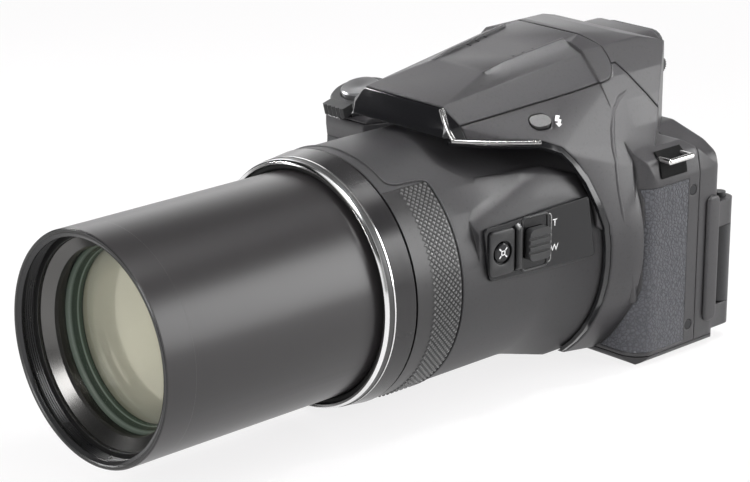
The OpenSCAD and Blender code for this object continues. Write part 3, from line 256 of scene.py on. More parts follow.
class Finish:
    """A material whose nodes read Object coordinates."""

    def __init__(self, name):
        self.material = bpy.data.materials.new(name)
        FINISHES[name] = self.material
        self.material.use_nodes = True
        self.tree = self.material.node_tree
        self.shader = self.tree.nodes["Principled BSDF"]
        self.place = self.tree.nodes.new("ShaderNodeTexCoord").outputs["Object"]

    def feed(self, socket, value):
        """Link an input to another node, or set its value."""
        if isinstance(value, bpy.types.NodeSocket):
            self.tree.links.new(value, socket)
        else:
            socket.default_value = value

    def add(self, kind, values=(), **settings):
        """Add a node, set its inputs or link them, and return it."""
        node = self.tree.nodes.new("ShaderNode" + kind)
        for key, value in settings.items():
            setattr(node, key, value)
        for key, value in dict(values).items():
            self.feed(node.inputs[key], value)
        return node

    def set(self, **values):
        """Set or link inputs of the shader."""
        for key, value in values.items():
            self.feed(self.shader.inputs[key.replace("_", " ")], value)

    def noise(self, scale, detail=2.0, rough=0.5):
        """Noise on Object coordinates."""
        values = {"Vector": self.place, "Scale": scale, "Detail": detail, "Roughness": rough}
        return self.add("TexNoise", values).outputs["Fac"]

    def ramp(self, value, stops):
        """Colour ramp with (place, grey or colour) stops."""
        node = self.add("ValToRGB", {"Fac": value})
        fill_ramp(node, stops)
        return node.outputs["Color"]

    def span(self, value, low, high):
        """Map 0 to 1 onto a range."""
        node = self.add("MapRange", {"Value": value, "To Min": low, "To Max": high})
        return node.outputs["Result"]

    def mix(self, factor, first, second, blend="MIX"):
        """Mix two colours."""
        node = self.add("MixRGB", {"Fac": factor, "Color1": first, "Color2": second}, blend_type=blend)
        return node.outputs["Color"]

    def maths(self, operation, first, second):
        """One step of arithmetic."""
        return self.add("Math", {0: first, 1: second}, operation=operation).outputs[0]

    def along_lens(self, start, length):
        """Place along the lens, from 0 at a start to 1 a length further ahead, in millimetres."""
        back = self.add("SeparateXYZ", {"Vector": self.place}).outputs["Y"]
        ahead = self.maths("MULTIPLY", back, -1 / MM)
        return self.maths("DIVIDE", self.maths("SUBTRACT", ahead, start), length)

    def lens_radius(self, full):
        """Distance from the lens axis, as a share of a full radius in millimetres."""
        values = {"Vector": self.place, "Location": (0, 0, -AXIS_Z * MM), "Scale": (1, 0, 1)}
        flat = self.add("Mapping", values).outputs[0]
        away = self.add("VectorMath", {"Vector": flat}, operation="LENGTH").outputs["Value"]
        return self.maths("MULTIPLY", away, 1 / (full * MM))

    def round_edges(self, radius):
        """Normal that softens edges, and how near an edge each point lies."""
        bevel = self.add("Bevel", {"Radius": radius * MM}, samples=4).outputs[0]
        true = self.add("NewGeometry").outputs["Normal"]
        flat = self.add("VectorMath", {0: bevel, 1: true}, operation="DOT_PRODUCT").outputs["Value"]
        return bevel, self.maths("SUBTRACT", 1.0, flat)

    def bump(self, height, distance, normal=None):
        """Bump from a height, on top of another normal."""
        values = {"Height": height, "Distance": distance * MM, "Strength": 1.0}
        if normal is not None:
            values["Normal"] = normal
        return self.add("Bump", values).outputs[0]


def grey(value):
    """Grey colour."""
    return (value, value, value, 1)


def scaled(colour, factor):
    """A colour made lighter or darker."""
    return (*(min(1.0, c * factor) for c in colour[:3]), 1)


def moulded_plastic(name, colour, rough, grain, edge=0.5, specular=0.5):
    """Moulded plastic with a fine spark-eroded grain, slightly polished edges and painted shade that darkens
    its seams and crevices.
    """
    speck_share = 0.35
    worn_share = 0.25
    seam_shade_reach = 1.1 * MM
    f = Finish(name)
    fine = f.noise(2600, 3, 0.6)
    broad = f.noise(45, 3)
    specks = f.ramp(f.noise(1000, 1), [(0.60, 0), (0.70, 1)])
    shade = f.mix(fine, scaled(colour, 0.72), scaled(colour, 1.3))
    shade = f.mix(f.span(broad, 0, 0.35), shade, scaled(colour, 0.75))
    shade = f.mix(f.maths("MULTIPLY", specks, speck_share), shade, scaled(colour, 0.35))
    normal, near = f.round_edges(edge)
    worn = f.ramp(near, [(0.02, 0), (0.2, 1)])
    shade = f.mix(f.maths("MULTIPLY", worn, worn_share), shade, scaled(colour, 1.8))
    # Ambient occlusion darkens the colour in seams, gaps and crevices between parts: painted shade.
    open_air = f.add("AmbientOcclusion", {"Distance": seam_shade_reach}, samples=4).outputs["AO"]
    painted_seam_shade = f.ramp(open_air, [(0.35, 0.08), (0.78, 1)])
    f.set(Base_Color=f.mix(1.0, shade, painted_seam_shade, "MULTIPLY"), Normal=f.bump(fine, grain, normal))
    f.set(Roughness=f.span(fine, rough - 0.07, rough + 0.09), Specular_IOR_Level=specular)
    return f.material


def gloss_plastic(name, colour, rough=0.12):
    """Polished dark plastic with faint rub marks."""
    f = Finish(name)
    smear = f.noise(160, 5, 0.65)
    shade = f.mix(f.noise(30, 2), scaled(colour, 0.8), scaled(colour, 1.25))
    normal = f.round_edges(0.35)[0]
    f.set(Base_Color=shade, Roughness=f.span(smear, rough * 0.6, rough * 1.7), Normal=normal)
    f.set(Coat_Weight=0.1, Coat_Roughness=0.06, Specular_IOR_Level=0.35)
    return f.material


def pebbled(name, colour, cell, depth, rough):
    """Pebbled leatherette or rubber: round cells between fine wandering valleys, with painted shade darkening
    the valleys.
    """
    f = Finish(name)
    bend = f.add("TexNoise", {"Vector": f.place, "Scale": 600.0, "Detail": 2.0}).outputs["Color"]
    shift = f.add("VectorMath", {0: bend, "Scale": 0.0009}, operation="SCALE").outputs[0]
    place = f.add("VectorMath", {0: f.place, 1: shift}, operation="ADD").outputs[0]
    cells = f.add("TexVoronoi", {"Vector": place, "Scale": 1 / (cell * MM)}, feature="DISTANCE_TO_EDGE")
    height = f.ramp(cells.outputs["Distance"], [(0.0, 0), (0.16, 0.7), (0.42, 1)])
    fine = f.noise(3200, 2)
    # The colour follows the cell height, darker down in the valleys and lighter on the cell tops: painted
    # shade in the valleys.
    shade = f.mix(height, scaled(colour, 0.55), scaled(colour, 1.25))
    shade = f.mix(f.span(f.noise(60, 2), 0, 0.3), shade, scaled(colour, 0.8))
    relief = f.maths("ADD", height, f.maths("MULTIPLY", fine, 0.15))
    f.set(Base_Color=shade, Normal=f.bump(relief, depth))
    f.set(Roughness=f.span(height, rough + 0.12, rough - 0.06))
    return f.material


def satin_metal(name, colour, rough, metal=0.0, grain=0.004):
    """Satin coated metal with very fine turning lines round the lens axis."""
    f = Finish(name)
    along = f.add("Mapping", {"Vector": f.place, "Scale": (60, 9000, 60)}).outputs[0]
    lines = f.add("TexNoise", {"Vector": along, "Scale": 1.0, "Detail": 2.0}).outputs["Fac"]
    fine = f.noise(2200, 2)
    shade = f.mix(lines, scaled(colour, 0.9), scaled(colour, 1.12))
    shade = f.mix(f.span(f.noise(25, 3), 0, 0.25), shade, scaled(colour, 0.85))
    normal, near = f.round_edges(0.25)
    worn = f.ramp(near, [(0.02, 0), (0.25, 1)])
    shade = f.mix(f.maths("MULTIPLY", worn, 0.4), shade, scaled(colour, 2.4))
    f.set(Base_Color=shade, Metallic=metal, Normal=f.bump(fine, grain, normal))
    f.set(Roughness=f.span(lines, rough - 0.04, rough + 0.06))
    return f.material


def plain_metal(name, colour, rough):
    """Bare or plated metal with small scuffs."""
    f = Finish(name)
    scuff = f.noise(900, 4, 0.7)
    shade = f.mix(scuff, scaled(colour, 0.88), scaled(colour, 1.06))
    normal = f.round_edges(0.15)[0]
    f.set(Base_Color=shade, Metallic=1.0, Roughness=f.span(scuff, rough * 0.6, rough * 1.5), Normal=normal)
    return f.material


def banded_ring(name):
    """Ring with a bright front edge, a dark satin middle and a thin bright rear line."""
    f = Finish(name)
    place = f.along_lens(start=114.3, length=4.0)
    bright = f.ramp(place, [(0.0, 1), (0.13, 1), (0.16, 0), (0.60, 0), (0.66, 1), (1.0, 1)])
    scuff = f.noise(700, 3)
    normal = f.round_edges(0.12)[0]
    f.set(Base_Color=f.mix(bright, grey(0.045), grey(0.86)), Metallic=bright, Normal=normal)
    f.set(Roughness=f.maths("ADD", f.span(bright, 0.3, 0.1), f.span(scuff, 0, 0.06)))
    return f.material


def rim_finish(name, outside, inside):
    """Front rim: the barrel's satin outside, black within."""
    f = Finish(name)
    out = f.ramp(f.lens_radius(40), [(0.862, 0), (0.866, 1)])
    fine = f.noise(2200, 2)
    normal, near = f.round_edges(0.2)
    worn = f.ramp(near, [(0.02, 0), (0.25, 1)])
    shade = f.mix(out, inside, outside)
    shade = f.mix(f.maths("MULTIPLY", worn, 0.5), shade, grey(0.2))
    f.set(Base_Color=shade, Roughness=f.span(fine, 0.32, 0.44), Normal=f.bump(fine, 0.004, normal))
    return f.material


def coated_glass(name, colour, alpha):
    """Clear coated glass that lets most of the light through."""
    rough = 0.03
    f = Finish(name)
    dust = f.ramp(f.noise(1800, 2), [(0.66, 0), (0.75, 1)])
    f.set(Base_Color=f.mix(dust, colour, scaled(colour, 1.6)), Roughness=f.span(dust, rough, rough + 0.1))
    f.set(Alpha=alpha, IOR=1.9)
    return f.material


def deep_glass(name, colour, centre):
    """Glass seen in depth: a tint that lightens from the rim to the middle, with painted shade towards the
    rim.
    """
    rough = 0.12
    f = Finish(name)
    away = f.lens_radius(26)
    # Lighter in the middle and darker towards the rim: painted shade.
    shade = f.ramp(away, [(0.0, centre), (0.72, colour), (1.0, tuple(c * 0.55 for c in colour))])
    cloud = f.noise(70, 3)
    f.set(Base_Color=f.mix(f.span(cloud, 0, 0.2), shade, grey(0.2)))
    f.set(Roughness=f.span(cloud, rough * 0.7, rough * 1.4))
    f.set(Metallic=0.3, Coat_Weight=0.6, Coat_Roughness=0.03)
    return f.material


def edge_glass(name):
    """Ground edge of a lens: dark green with a few pale rings."""
    f = Finish(name)
    place = f.along_lens(start=178.6, length=5.0)
    rings = [(0.0, (0.03, 0.045, 0.03)), (0.22, (0.07, 0.095, 0.07)), (0.30, (0.30, 0.36, 0.31)),
             (0.36, (0.05, 0.07, 0.053)), (0.62, (0.04, 0.055, 0.043)), (0.78, (0.26, 0.31, 0.27)),
             (0.95, (0.12, 0.15, 0.125))]
    shade = f.ramp(place, rings)
    cloud = f.noise(90, 3)
    f.set(Base_Color=f.mix(f.span(cloud, 0, 0.2), shade, grey(0.03)), Roughness=f.span(cloud, 0.16, 0.28))
    return f.material


def printed(name, colour):
    """Printed ink, very slightly uneven."""
    f = Finish(name)
    shade = f.mix(f.noise(3000, 2), scaled(colour, 0.92), scaled(colour, 1.04))
    f.set(Base_Color=shade, Roughness=f.span(f.noise(900, 2), 0.4, 0.55))
    return f.material


def circuit_board(name):
    """Green board with a net of copper tracks."""
    f = Finish(name)
    cells = f.add("TexVoronoi", {"Vector": f.place, "Scale": 280.0}, feature="DISTANCE_TO_EDGE")
    track = f.ramp(cells.outputs["Distance"], [(0.05, 1), (0.09, 0)])
    f.set(Base_Color=f.mix(track, (0.03, 0.16, 0.07, 1), (0.2, 0.35, 0.12, 1)))
    f.set(Roughness=f.span(track, 0.45, 0.3))
    return f.material


def knurl_finish(name):
    """Knurled plastic: dark studs, with a painted highlight lightening their outer tips."""
    f = Finish(name)
    # The outer tips of the studs are coloured light where they catch the light: painted highlight.
    painted_tip_highlight = f.ramp(f.lens_radius(40), [(0.985, 0), (0.994, 1)])
    shade = f.mix(painted_tip_highlight, grey(0.012), grey(0.17))
    shade = f.mix(f.span(f.noise(2600, 2), 0, 0.3), shade, grey(0.03))
    f.set(Base_Color=shade, Roughness=f.span(painted_tip_highlight, 0.5, 0.3))
    return f.material


def ribbed_lens(name):
    """Pale flash lens with fine upright ribs."""
    f = Finish(name)
    ribs = f.add("TexWave", {"Vector": f.place, "Scale": 420.0}, bands_direction="X").outputs["Fac"]
    f.set(Base_Color=f.mix(ribs, (0.7, 0.72, 0.74, 1), (0.86, 0.87, 0.88, 1)), Roughness=0.15)
    f.set(Normal=f.bump(ribs, 0.1))
    return f.material


# What a user may change

def colour_choice(name, description, default):
    """Property that holds one colour."""
    return FloatVectorProperty(name=name, description=description, subtype="COLOR", size=len(default),
                               default=default, min=0, max=1)


def length_choice(name, description, default, least, most):
    """Property that holds one length, given in millimetres."""
    return FloatProperty(name=name, description=description, default=default * MM, min=least * MM,
                         max=most * MM, unit="LENGTH", precision=5)


class CameraLooks(bpy.types.PropertyGroup):
    """Sizes and colours of the fine detail."""

    cover_colour: colour_choice("Covers", "Colour of the moulded covers", (0.034, 0.0325, 0.035, 1))
    housing_colour: colour_choice("Lens housing", "Colour of the lens housing", (0.026, 0.025, 0.027, 1))
    gloss_colour: colour_choice("Gloss trim", "Colour of the polished trim", (0.008, 0.008, 0.009, 1))
    leather_colour: colour_choice("Leatherette", "Colour of the side covering", (0.064, 0.065, 0.075, 1))
    rubber_colour: colour_choice("Grip rubber", "Colour of the grip covering", (0.036, 0.037, 0.040, 1))
    barrel_colour: colour_choice("Barrel", "Colour of the zoom barrel", (0.026, 0.024, 0.025, 1))
    # The lens coating colour is set light enough to paint in the bright reflection seen in the coating:
    # painted reflection.
    glass_colour: colour_choice("Lens coating", "Tint of the coating seen in the lens", (0.72, 0.69, 0.52))
    knurl_pitch: length_choice("Knurl pitch", "Distance between studs round the band", 1.9, 1.2, 3)
    knurl_height: length_choice("Knurl height", "Height of a stud above the band", 0.5, 0.1, 0.8)
    thread_turns: IntProperty(name="Thread turns", description="Turns of the filter thread", default=6,
                              min=3, max=7)


def looks():
    """The scene's settings."""
    return bpy.context.scene.camera_looks


def dress(names, material, angle=32):
    """Give CAD nodes a finish and smooth shading without moving a point of their meshes."""
    for name in names:
        obj = NODES[name]
        if obj.data.attributes.get("custom_normal"):
            activate(obj)
            bpy.ops.mesh.customdata_custom_splitnormals_clear()
        obj.data.materials.clear()
        obj.data.materials.append(material)
        obj.data.polygons.foreach_set("use_smooth", [True] * len(obj.data.polygons))
        obj.data.polygons.foreach_set("material_index", [0] * len(obj.data.polygons))
        weld = obj.modifiers.new("Join triangles", "WELD")
        weld.merge_threshold = WELD_GAP
        crease = obj.modifiers.new("Keep creases", "EDGE_SPLIT")
        crease.split_angle = math.radians(angle)


class CAMERA_OT_covers(bpy.types.Operator):
    """Finish the moulded covers and the lens housing"""

    bl_idname = "camera_looks.covers"
    bl_label = "Covers"

    def execute(self, context):
        look = looks()
        cover = moulded_plastic("cover_plastic", look.cover_colour, rough=0.38, grain=0.012, edge=0.9)
        dress(["front_cover", "rear_cover", "top_cover"], cover, angle=24)
        dress(["flash_head"], cover, angle=20)
        housing = moulded_plastic("housing_plastic", look.housing_colour, rough=0.46, grain=0.010, edge=0.9)
        dress(["lens_housing"], housing, angle=30)
        base = moulded_plastic("base_plastic", scaled(look.cover_colour, 0.7), rough=0.5, grain=0.012)
        dress(["base_plate", "battery_door", "connector_cover"], base)
        gloss = gloss_plastic("gloss_black", look.gloss_colour)
        dress(["nose_plate", "trim_strip", "control_panel"], gloss)
        return {"FINISHED"}


class CAMERA_OT_ridges(bpy.types.Operator):
    """Build the bright edge of the nose and the bead of the cover"""

    bl_idname = "camera_looks.ridges"
    bl_label = "Bright edge and bead"

    def execute(self, context):
        bright = plain_metal("edge_chrome", (0.46, 0.455, 0.45, 1), rough=0.24)
        under_nose = [(21.6, -75.2, 81.35), (24.6, -71.6, 81.0), (27.8, -66.9, 80.5), (30.6, -61.0, 79.9),
                      (33.0, -55.9, 79.4), (35.2, -50.6, 78.9)]
        beside_nose = [(16.2, -73.9, 89.9), (17.7, -74.5, 88.0), (19.2, -75.0, 85.8), (20.2, -75.0, 84.2),
                       (20.9, -74.8, 82.8), (21.8, -74.6, 81.7)]
        line = draw_wire("bright_edge", under_nose, radius=0.75)
        edge = draw_wire("nose_edge", beside_nose, radius=1.05)
        hand_over(join_pieces("bright_edge", [line, edge]), BODY, bright, angle=60)
        down_cover = [(29.2, -4.2, 86.0), (30.4, -8.5, 85.2), (31.2, -12.6, 84.2), (32.8, -16.4, 81.4),
                      (35.9, -20.1, 76.6), (38.7, -22.6, 71.9), (41.1, -23.8, 67.8), (42.5, -24.0, 60.2),
                      (44.4, -23.2, 50.7), (45.7, -22.0, 40.9), (45.4, -19.2, 31.5), (43.9, -16.2, 22)]
        bead = draw_wire("cover_bead", down_cover, radius=1.7)
        hand_over(bead, BODY, FINISHES["cover_plastic"], angle=60)
        return {"FINISHED"}


class CAMERA_OT_skins(bpy.types.Operator):
    """Finish the leatherette and the rubber skins"""

    bl_idname = "camera_looks.skins"
    bl_label = "Leatherette and rubber"

    def execute(self, context):
        look = looks()
        dress(["side_leather"], pebbled("leatherette", look.leather_colour, cell=1.25, depth=0.16, rough=0.5))
        dress(["grip_rubber"], pebbled("grip_rubber", look.rubber_colour, cell=1.0, depth=0.12, rough=0.6))
        dress(["eyecup"], moulded_plastic("soft_rubber", look.rubber_colour, rough=0.7, grain=0.02))
        return {"FINISHED"}


class CAMERA_OT_barrel(bpy.types.Operator):
    """Finish the zoom barrel, and build its rim band, its lip and the filter thread"""

    bl_idname = "camera_looks.barrel"
    bl_label = "Barrel and filter thread"

    def execute(self, context):
        look = looks()
        dress(["lens_barrel"], satin_metal("barrel_satin", look.barrel_colour, rough=0.30))
        dress(["filter_ring"], rim_finish("rim_finish", look.barrel_colour, grey(0.012)))
        black = gloss_plastic("stepped_black", (0.006, 0.006, 0.007, 1), rough=0.26)
        retainer = satin_metal("retainer_metal", (0.11, 0.108, 0.105, 1), rough=0.2, metal=0.85, grain=0.002)
        dress(["lens_retainer"], retainer)
        felt = moulded_plastic("felt_black", (0.006, 0.006, 0.006, 1), rough=0.8, grain=0.02)
        dress(["barrel_seal"], felt)
        band_line = [(34.7, 186.4), (35.006, 186.5), (35.02, 189), (35.02, 196.5), (34.8, 196.75),
                     (34.7, 196.5), (34.7, 186.4)]
        band = turn_profile("rim_band", band_line, steps=128)
        hand_over(band, "barrel", FINISHES["barrel_satin"], angle=15)
        lip_line = [(34.8, 196.3), (34.86, 196.8), (34.6, 196.97), (34.0, 196.9), (32.5, 196.1),
                    (32.4, 195.7), (33.2, 195.6), (34.8, 196.3)]
        lip = turn_profile("rim_lip", lip_line, steps=128)
        gloss = gloss_plastic("lip_gloss", (0.02, 0.02, 0.021, 1), rough=0.12)
        hand_over(lip, "barrel", gloss, angle=30)
        pitch = 0.72
        root_r = 33.52
        crest_r = 33.1
        first_turn = 190.9
        steps = 96
        thread = draw_line("filter_thread", [(root_r, 0, 0), (crest_r, -pitch / 2, 0), (root_r, -pitch, 0)])
        clear_selection()
        thread.location = (0, -first_turn * MM, AXIS_Z * MM)
        apply_modifier(thread, "SCREW", axis="Y", angle=math.tau, screw_offset=-pitch * MM, steps=steps,
                       render_steps=steps, iterations=look.thread_turns, use_merge_vertices=True)
        activate(thread)
        bpy.ops.object.transform_apply(location=True)
        mend_mesh(thread)
        hand_over(thread, "barrel", black)
        return {"FINISHED"}


class CAMERA_OT_front_glass(bpy.types.Operator):
    """Build the front element, the stepped wall behind it and the coated glass in depth"""

    bl_idname = "camera_looks.front_glass"
    bl_label = "Front glass"

    def execute(self, context):
        look = looks()
        glass_r = 28.5
        glass_t = 184.5
        bulge = 2.0
        thick = 1.2
        rise = [(glass_r * k / 10, glass_t + bulge * (1 - (k / 10) ** 2)) for k in range(11)]
        back = [(r, t - thick) for r, t in reversed(rise)]
        glass = turn_profile("front_glass", rise + back)
        coating = coated_glass("front_coating", (0.02, 0.03, 0.02, 1), alpha=0.16)
        hand_over(glass, "barrel", coating, angle=50)
        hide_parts("front_lens")
        wall = [(28.86, 186.1), (28.62, 186.1), (28.55, 182.7), (27.8, 182.6), (26.62, 178.9), (26.45, 178.5),
                (26.45, 176.5), (28.86, 176.5), (28.86, 186.1)]
        well = turn_profile("lens_well", wall)
        well_black = gloss_plastic("well_black", (0.010, 0.010, 0.011, 1), rough=0.14)
        hand_over(well, "barrel", well_black, angle=20)
        slope = [(28.5, 183.3), (28.2, 183.4), (27.5, 182.2), (27.1, 181.0), (26.55, 179.6), (26.3, 178.8),
                 (26.5, 178.7), (28.5, 182.5), (28.5, 183.3)]
        ring = turn_profile("glass_edge", slope)
        hand_over(ring, "barrel", edge_glass("edge_green"), angle=25)
        disc_r = 26.4
        disc_t = 178.5
        dome_rise = 3.0
        dome = [(disc_r * k / 12, disc_t + dome_rise * (1 - (k / 12) ** 2)) for k in range(13)]
        disc_back = 177.5
        disc = turn_profile("coated_disc", dome + [(disc_r, disc_back), (0, disc_back)])
        # The disc's colour is the coating's tint together with a painted reflection of the bright
        # surroundings.
        tint_and_reflection = tuple(look.glass_colour)
        olive = deep_glass("coated_olive", tint_and_reflection, tuple(c * 1.2 for c in tint_and_reflection))
        hand_over(disc, "barrel", olive, angle=40)
        return {"FINISHED"}


class CAMERA_OT_rings(bpy.types.Operator):
    """Finish the bright ring and the collar"""

    bl_idname = "camera_looks.rings"
    bl_label = "Rings"

    def execute(self, context):
        dress(["bright_ring"], banded_ring("ring_bands"))
        collar = satin_metal("collar_gloss", (0.020, 0.019, 0.020, 1), rough=0.2, grain=0.002)
        dress(["front_collar"], collar)
        return {"FINISHED"}


class CAMERA_OT_knurl(bpy.types.Operator):
    """Build the diamond studs of the knurled band and its raised border"""

    bl_idname = "camera_looks.knurl"
    bl_label = "Knurled band"

    def execute(self, context):
        look = looks()
        radius = 39.35
        first = 38.0
        last = 360 - first
        pitch = look.knurl_pitch / MM
        count = int(math.radians(last - first) * radius / pitch)
        step = (last - first) / count
        band_long = 13.0
        band_back = 88.9
        foot_share = 0.48
        tip_share = 0.16
        rows = int(band_long / pitch)
        height = look.knurl_height
        studs = []
        for odd in (0, 1):
            turn = math.radians(first + odd * step / 2)
            high = radius * MM + height / 2
            ahead = band_back + odd * pitch / 2
            clear_selection()
            bpy.ops.mesh.primitive_cone_add(
                vertices=4, radius1=pitch * foot_share * MM, radius2=pitch * tip_share * MM, depth=height,
                location=(high * math.sin(turn), -ahead * MM, AXIS_Z * MM + high * math.cos(turn)),
                rotation=(0, turn, 0))
            stud = bpy.context.object
            bpy.ops.object.transform_apply(location=True, rotation=True, scale=True)
            apply_modifier(stud, "ARRAY", count=rows, use_relative_offset=False, use_constant_offset=True,
                           constant_offset_displace=(0, -pitch * MM, 0))
            studs.append(stud)
        band = join_pieces("knurl_studs", studs)
        bpy.ops.object.mode_set(mode="EDIT")
        bpy.ops.mesh.select_all(action="SELECT")
        bpy.ops.mesh.spin(steps=count - 1, dupli=True, angle=-math.radians(step * (count - 1)),
                          center=(0, 0, AXIS_Z * MM), axis=(0, 1, 0))
        bpy.ops.object.mode_set(mode="OBJECT")
        hand_over(band, BODY, knurl_finish("knurl_plastic"), angle=20)
        ground = moulded_plastic("band_plastic", (0.022, 0.021, 0.022, 1), rough=0.36, grain=0.004, edge=0.2)
        dress(["knurled_band"], ground)
        border_front = 102.4
        border_back = 87.4
        line = [(a, border_front) for a in range(0, 31, 3)]
        line += [(31.5, 102.2), (32.8, 101.6), (33.8, 100.4), (34.6, 98.5), (35.2, 92), (35.9, 89.4),
                 (37, 88.0), (38.5, 87.5)]
        line += [(a, border_back) for a in range(41, 181, 4)] + [(180, border_back)]
        ridge_r = radius + 0.1
        sides = []
        for side in (1, -1):
            points = []
            for degrees, t in line:
                a = math.radians(degrees)
                points.append((side * ridge_r * math.sin(a), -t, AXIS_Z + ridge_r * math.cos(a)))
            sides.append(draw_wire("knurl_border", points, radius=0.38))
        ridge = join_pieces("knurl_border", sides)
        hand_over(ridge, BODY, FINISHES["housing_plastic"], angle=60)
        return {"FINISHED"}


class CAMERA_OT_side_controls(bpy.types.Operator):
    """Build the raised frame, the ridge, the bay and the letters of the side zoom controls"""

    bl_idname = "camera_looks.side_controls"
    bl_label = "Side zoom controls"

    def execute(self, context):
        gloss = FINISHES["gloss_black"]
        satin = moulded_plastic("control_satin", (0.022, 0.022, 0.023, 1), rough=0.30, grain=0.004, edge=0.3)
        white = printed("white_ink", (0.85, 0.85, 0.85, 1))
        outwards = Matrix(((0, 0, 1, 0), (1, 0, 0, 0), (0, 1, 0, 0), (0, 0, 0, 1)))
        face = PANEL @ Matrix.Translation((PANEL_TOP, 0, 0)) @ outwards
        button_at = (7.6, 50.3)
        plate = cut_plate("button_frame", face, round_box(2.6, 43.2, 12.4, 57.4, 1.6), -0.3, 0.9)
        clear_selection()
        bpy.ops.mesh.primitive_cylinder_add(vertices=40, radius=3.65 * MM, depth=6 * MM)
        hole = bpy.context.object
        centre = (face @ Vector((*button_at, 0))) * MM
        hole.data.transform(Matrix.Translation(centre) @ face.to_3x3().to_4x4())
        apply_modifier(plate, "BOOLEAN", object=hole, operation="DIFFERENCE", solver="EXACT")
        bpy.data.objects.remove(hole)
        soften(plate, 0.3)
        hand_over(plate, BODY, satin)
        foot = [(12.9, 43.0), (15.4, 42.6), (15.4, 58.6), (12.9, 58.0)]
        ridge_top = 2.0
        ridge = cut_plate("bay_ridge", face, foot, -0.3, ridge_top)
        activate(ridge)
        bpy.ops.object.mode_set(mode="EDIT")
        bpy.ops.mesh.select_mode(type="FACE")
        bpy.ops.mesh.select_all(action="DESELECT")
        bpy.ops.object.mode_set(mode="OBJECT")
        out = face.to_3x3() @ Vector((0, 0, 1))
        for polygon in ridge.data.polygons:
            polygon.select = polygon.normal.dot(out) > 0.9
        bpy.ops.object.mode_set(mode="EDIT")
        crest = (face @ Vector((13.5, 50.5, ridge_top))) * MM
        bpy.ops.transform.resize(value=(0.45, 0.45, 0.8), center_override=tuple(crest))
        bpy.ops.object.mode_set(mode="OBJECT")
        soften(ridge, 0.3)
        hand_over(ridge, BODY, satin)
        bay_line = round_box(15.9, 42.4, 26.2, 59.2, 1.4)
        bay_line.append(bay_line[0])
        bay = draw_wire("lever_bay", [face @ Vector((u, v, 0.05)) for u, v in bay_line], 0.42, closed=True)
        hand_over(bay, BODY, satin, angle=60)
        bracket_line = ((26.6, 58.6), (27.3, 58.4), (27.7, 57.6), (27.7, 44.2), (27.3, 43.4), (26.6, 43.2))
        bracket = draw_wire("travel_mark", [face @ Vector((u, v, 0.0)) for u, v in bracket_line], 0.2)
        hand_over(bracket, BODY, printed("grey_ink", (0.3, 0.3, 0.3, 1)), angle=60)
        for words, v in (("T", 55.2), ("W", 47.2)):
            letter = add_words("letter_" + words, words, face @ Matrix.Translation((29.2, v, 0)), 3.1)
            hand_over(letter, BODY, white)
        spot = face @ Matrix.Translation((*button_at, 1.02))
        parts = []
        ink_lift = 0.06
        sides = ((-0.75, -0.75, 0.75, -0.45), (-0.75, 0.45, 0.75, 0.75), (-0.75, -0.45, -0.45, 0.45),
                 (0.45, -0.45, 0.75, 0.45))
        for k, (a, b, c, d) in enumerate(sides):
            parts.append(cut_plate("mark_%d" % k, spot, [(a, b), (c, b), (c, d), (a, d)], 0, ink_lift))
        bar = [(1.2, -0.2), (2.1, -0.2), (2.1, 0.2), (1.2, 0.2)]
        for k in range(4):
            arm = spot @ Matrix.Rotation(math.radians(45 + 90 * k), 4, "Z")
            parts.append(cut_plate("arm_%d" % k, arm, bar, 0, ink_lift))
        mark = join_pieces("frame_mark", parts)
        hand_over(mark, "snapback_button", white)
        lever = moulded_plastic("lever_plastic", (0.024, 0.024, 0.025, 1), rough=0.34, grain=0.004, edge=0.25)
        dress(["side_zoom_lever"], lever)
        dress(["snapback_button"], gloss)
        return {"FINISHED"}


class CAMERA_OT_flash(bpy.types.Operator):
    """Finish the flash and its button, and add the bolt mark"""

    bl_idname = "camera_looks.flash"
    bl_label = "Flash"

    def execute(self, context):
        white = FINISHES["white_ink"]
        place = plane_matrix(FLASH_AT, FLASH_LONG, FLASH_OUT)
        lean = Matrix.Rotation(math.radians(-27), 4, "Z")
        bolt = [(0.55, 2.4), (-0.75, 2.4), (-1.1, -0.2), (-0.05, -0.2), (-0.35, -1.1), (-0.95, -1.1),
                (0.1, -2.6), (1.1, -1.1), (0.55, -1.1), (1.0, 0.75), (0.15, 0.75)]
        beside = Matrix.Translation((6.0, -1.2, -0.02))
        mark = cut_plate("bolt_mark", place @ beside @ lean, bolt, 0, 0.08)
        hand_over(mark, BODY, white)
        button = moulded_plastic("button_plastic", (0.055, 0.054, 0.055, 1), rough=0.40, grain=0.005,
                                 edge=0.3)
        dress(["flash_button"], button)
        dress(["flash_lamp"], ribbed_lens("lamp_lens"))
        return {"FINISHED"}


class CAMERA_OT_left_side(bpy.types.Operator):
    """Build the raised rib beside the monitor hinge and a near-black sheet behind the strap lug that paints
    the shade of its pocket
    """

    bl_idname = "camera_looks.left_side"
    bl_label = "Left side"

    def execute(self, context):
        wall = plane_matrix((48, 0, 0), (0, 1, 0), (1, 0, 0))
        rib = cut_plate("side_rib", wall, round_box(14.0, 8, 20.0, 50.5, 2.4), -0.5, 1.1)
        soften(rib, 1.0, 4)
        hand_over(rib, BODY, FINISHES["cover_plastic"], angle=60)
        # A thin near-black sheet on the shoulder stands in for the shadowed pocket behind the lug: painted
        # shade.
        front = -8.6
        depth = 12.2
        line = [(48.12, 61.2), (48.0, 62.2), (46.95, 66.6), (46.2, 67.7), (44.4, 69.3)]
        pocket = draw_line("lug_pocket_shade", [(x, front, z) for x, z in line])
        bpy.ops.mesh.select_all(action="SELECT")
        bpy.ops.mesh.extrude_region_move(TRANSFORM_OT_translate={"value": (0, depth * MM, 0)})
        bpy.ops.object.mode_set(mode="OBJECT")
        apply_modifier(pocket, "SOLIDIFY", thickness=0.12 * MM, offset=0)
        mend_mesh(pocket)
        black = moulded_plastic("pocket_shade", (0.004, 0.004, 0.004, 1), rough=0.7, grain=0.01,
                                specular=0.12)
        hand_over(pocket, BODY, black, angle=40)
        return {"FINISHED"}


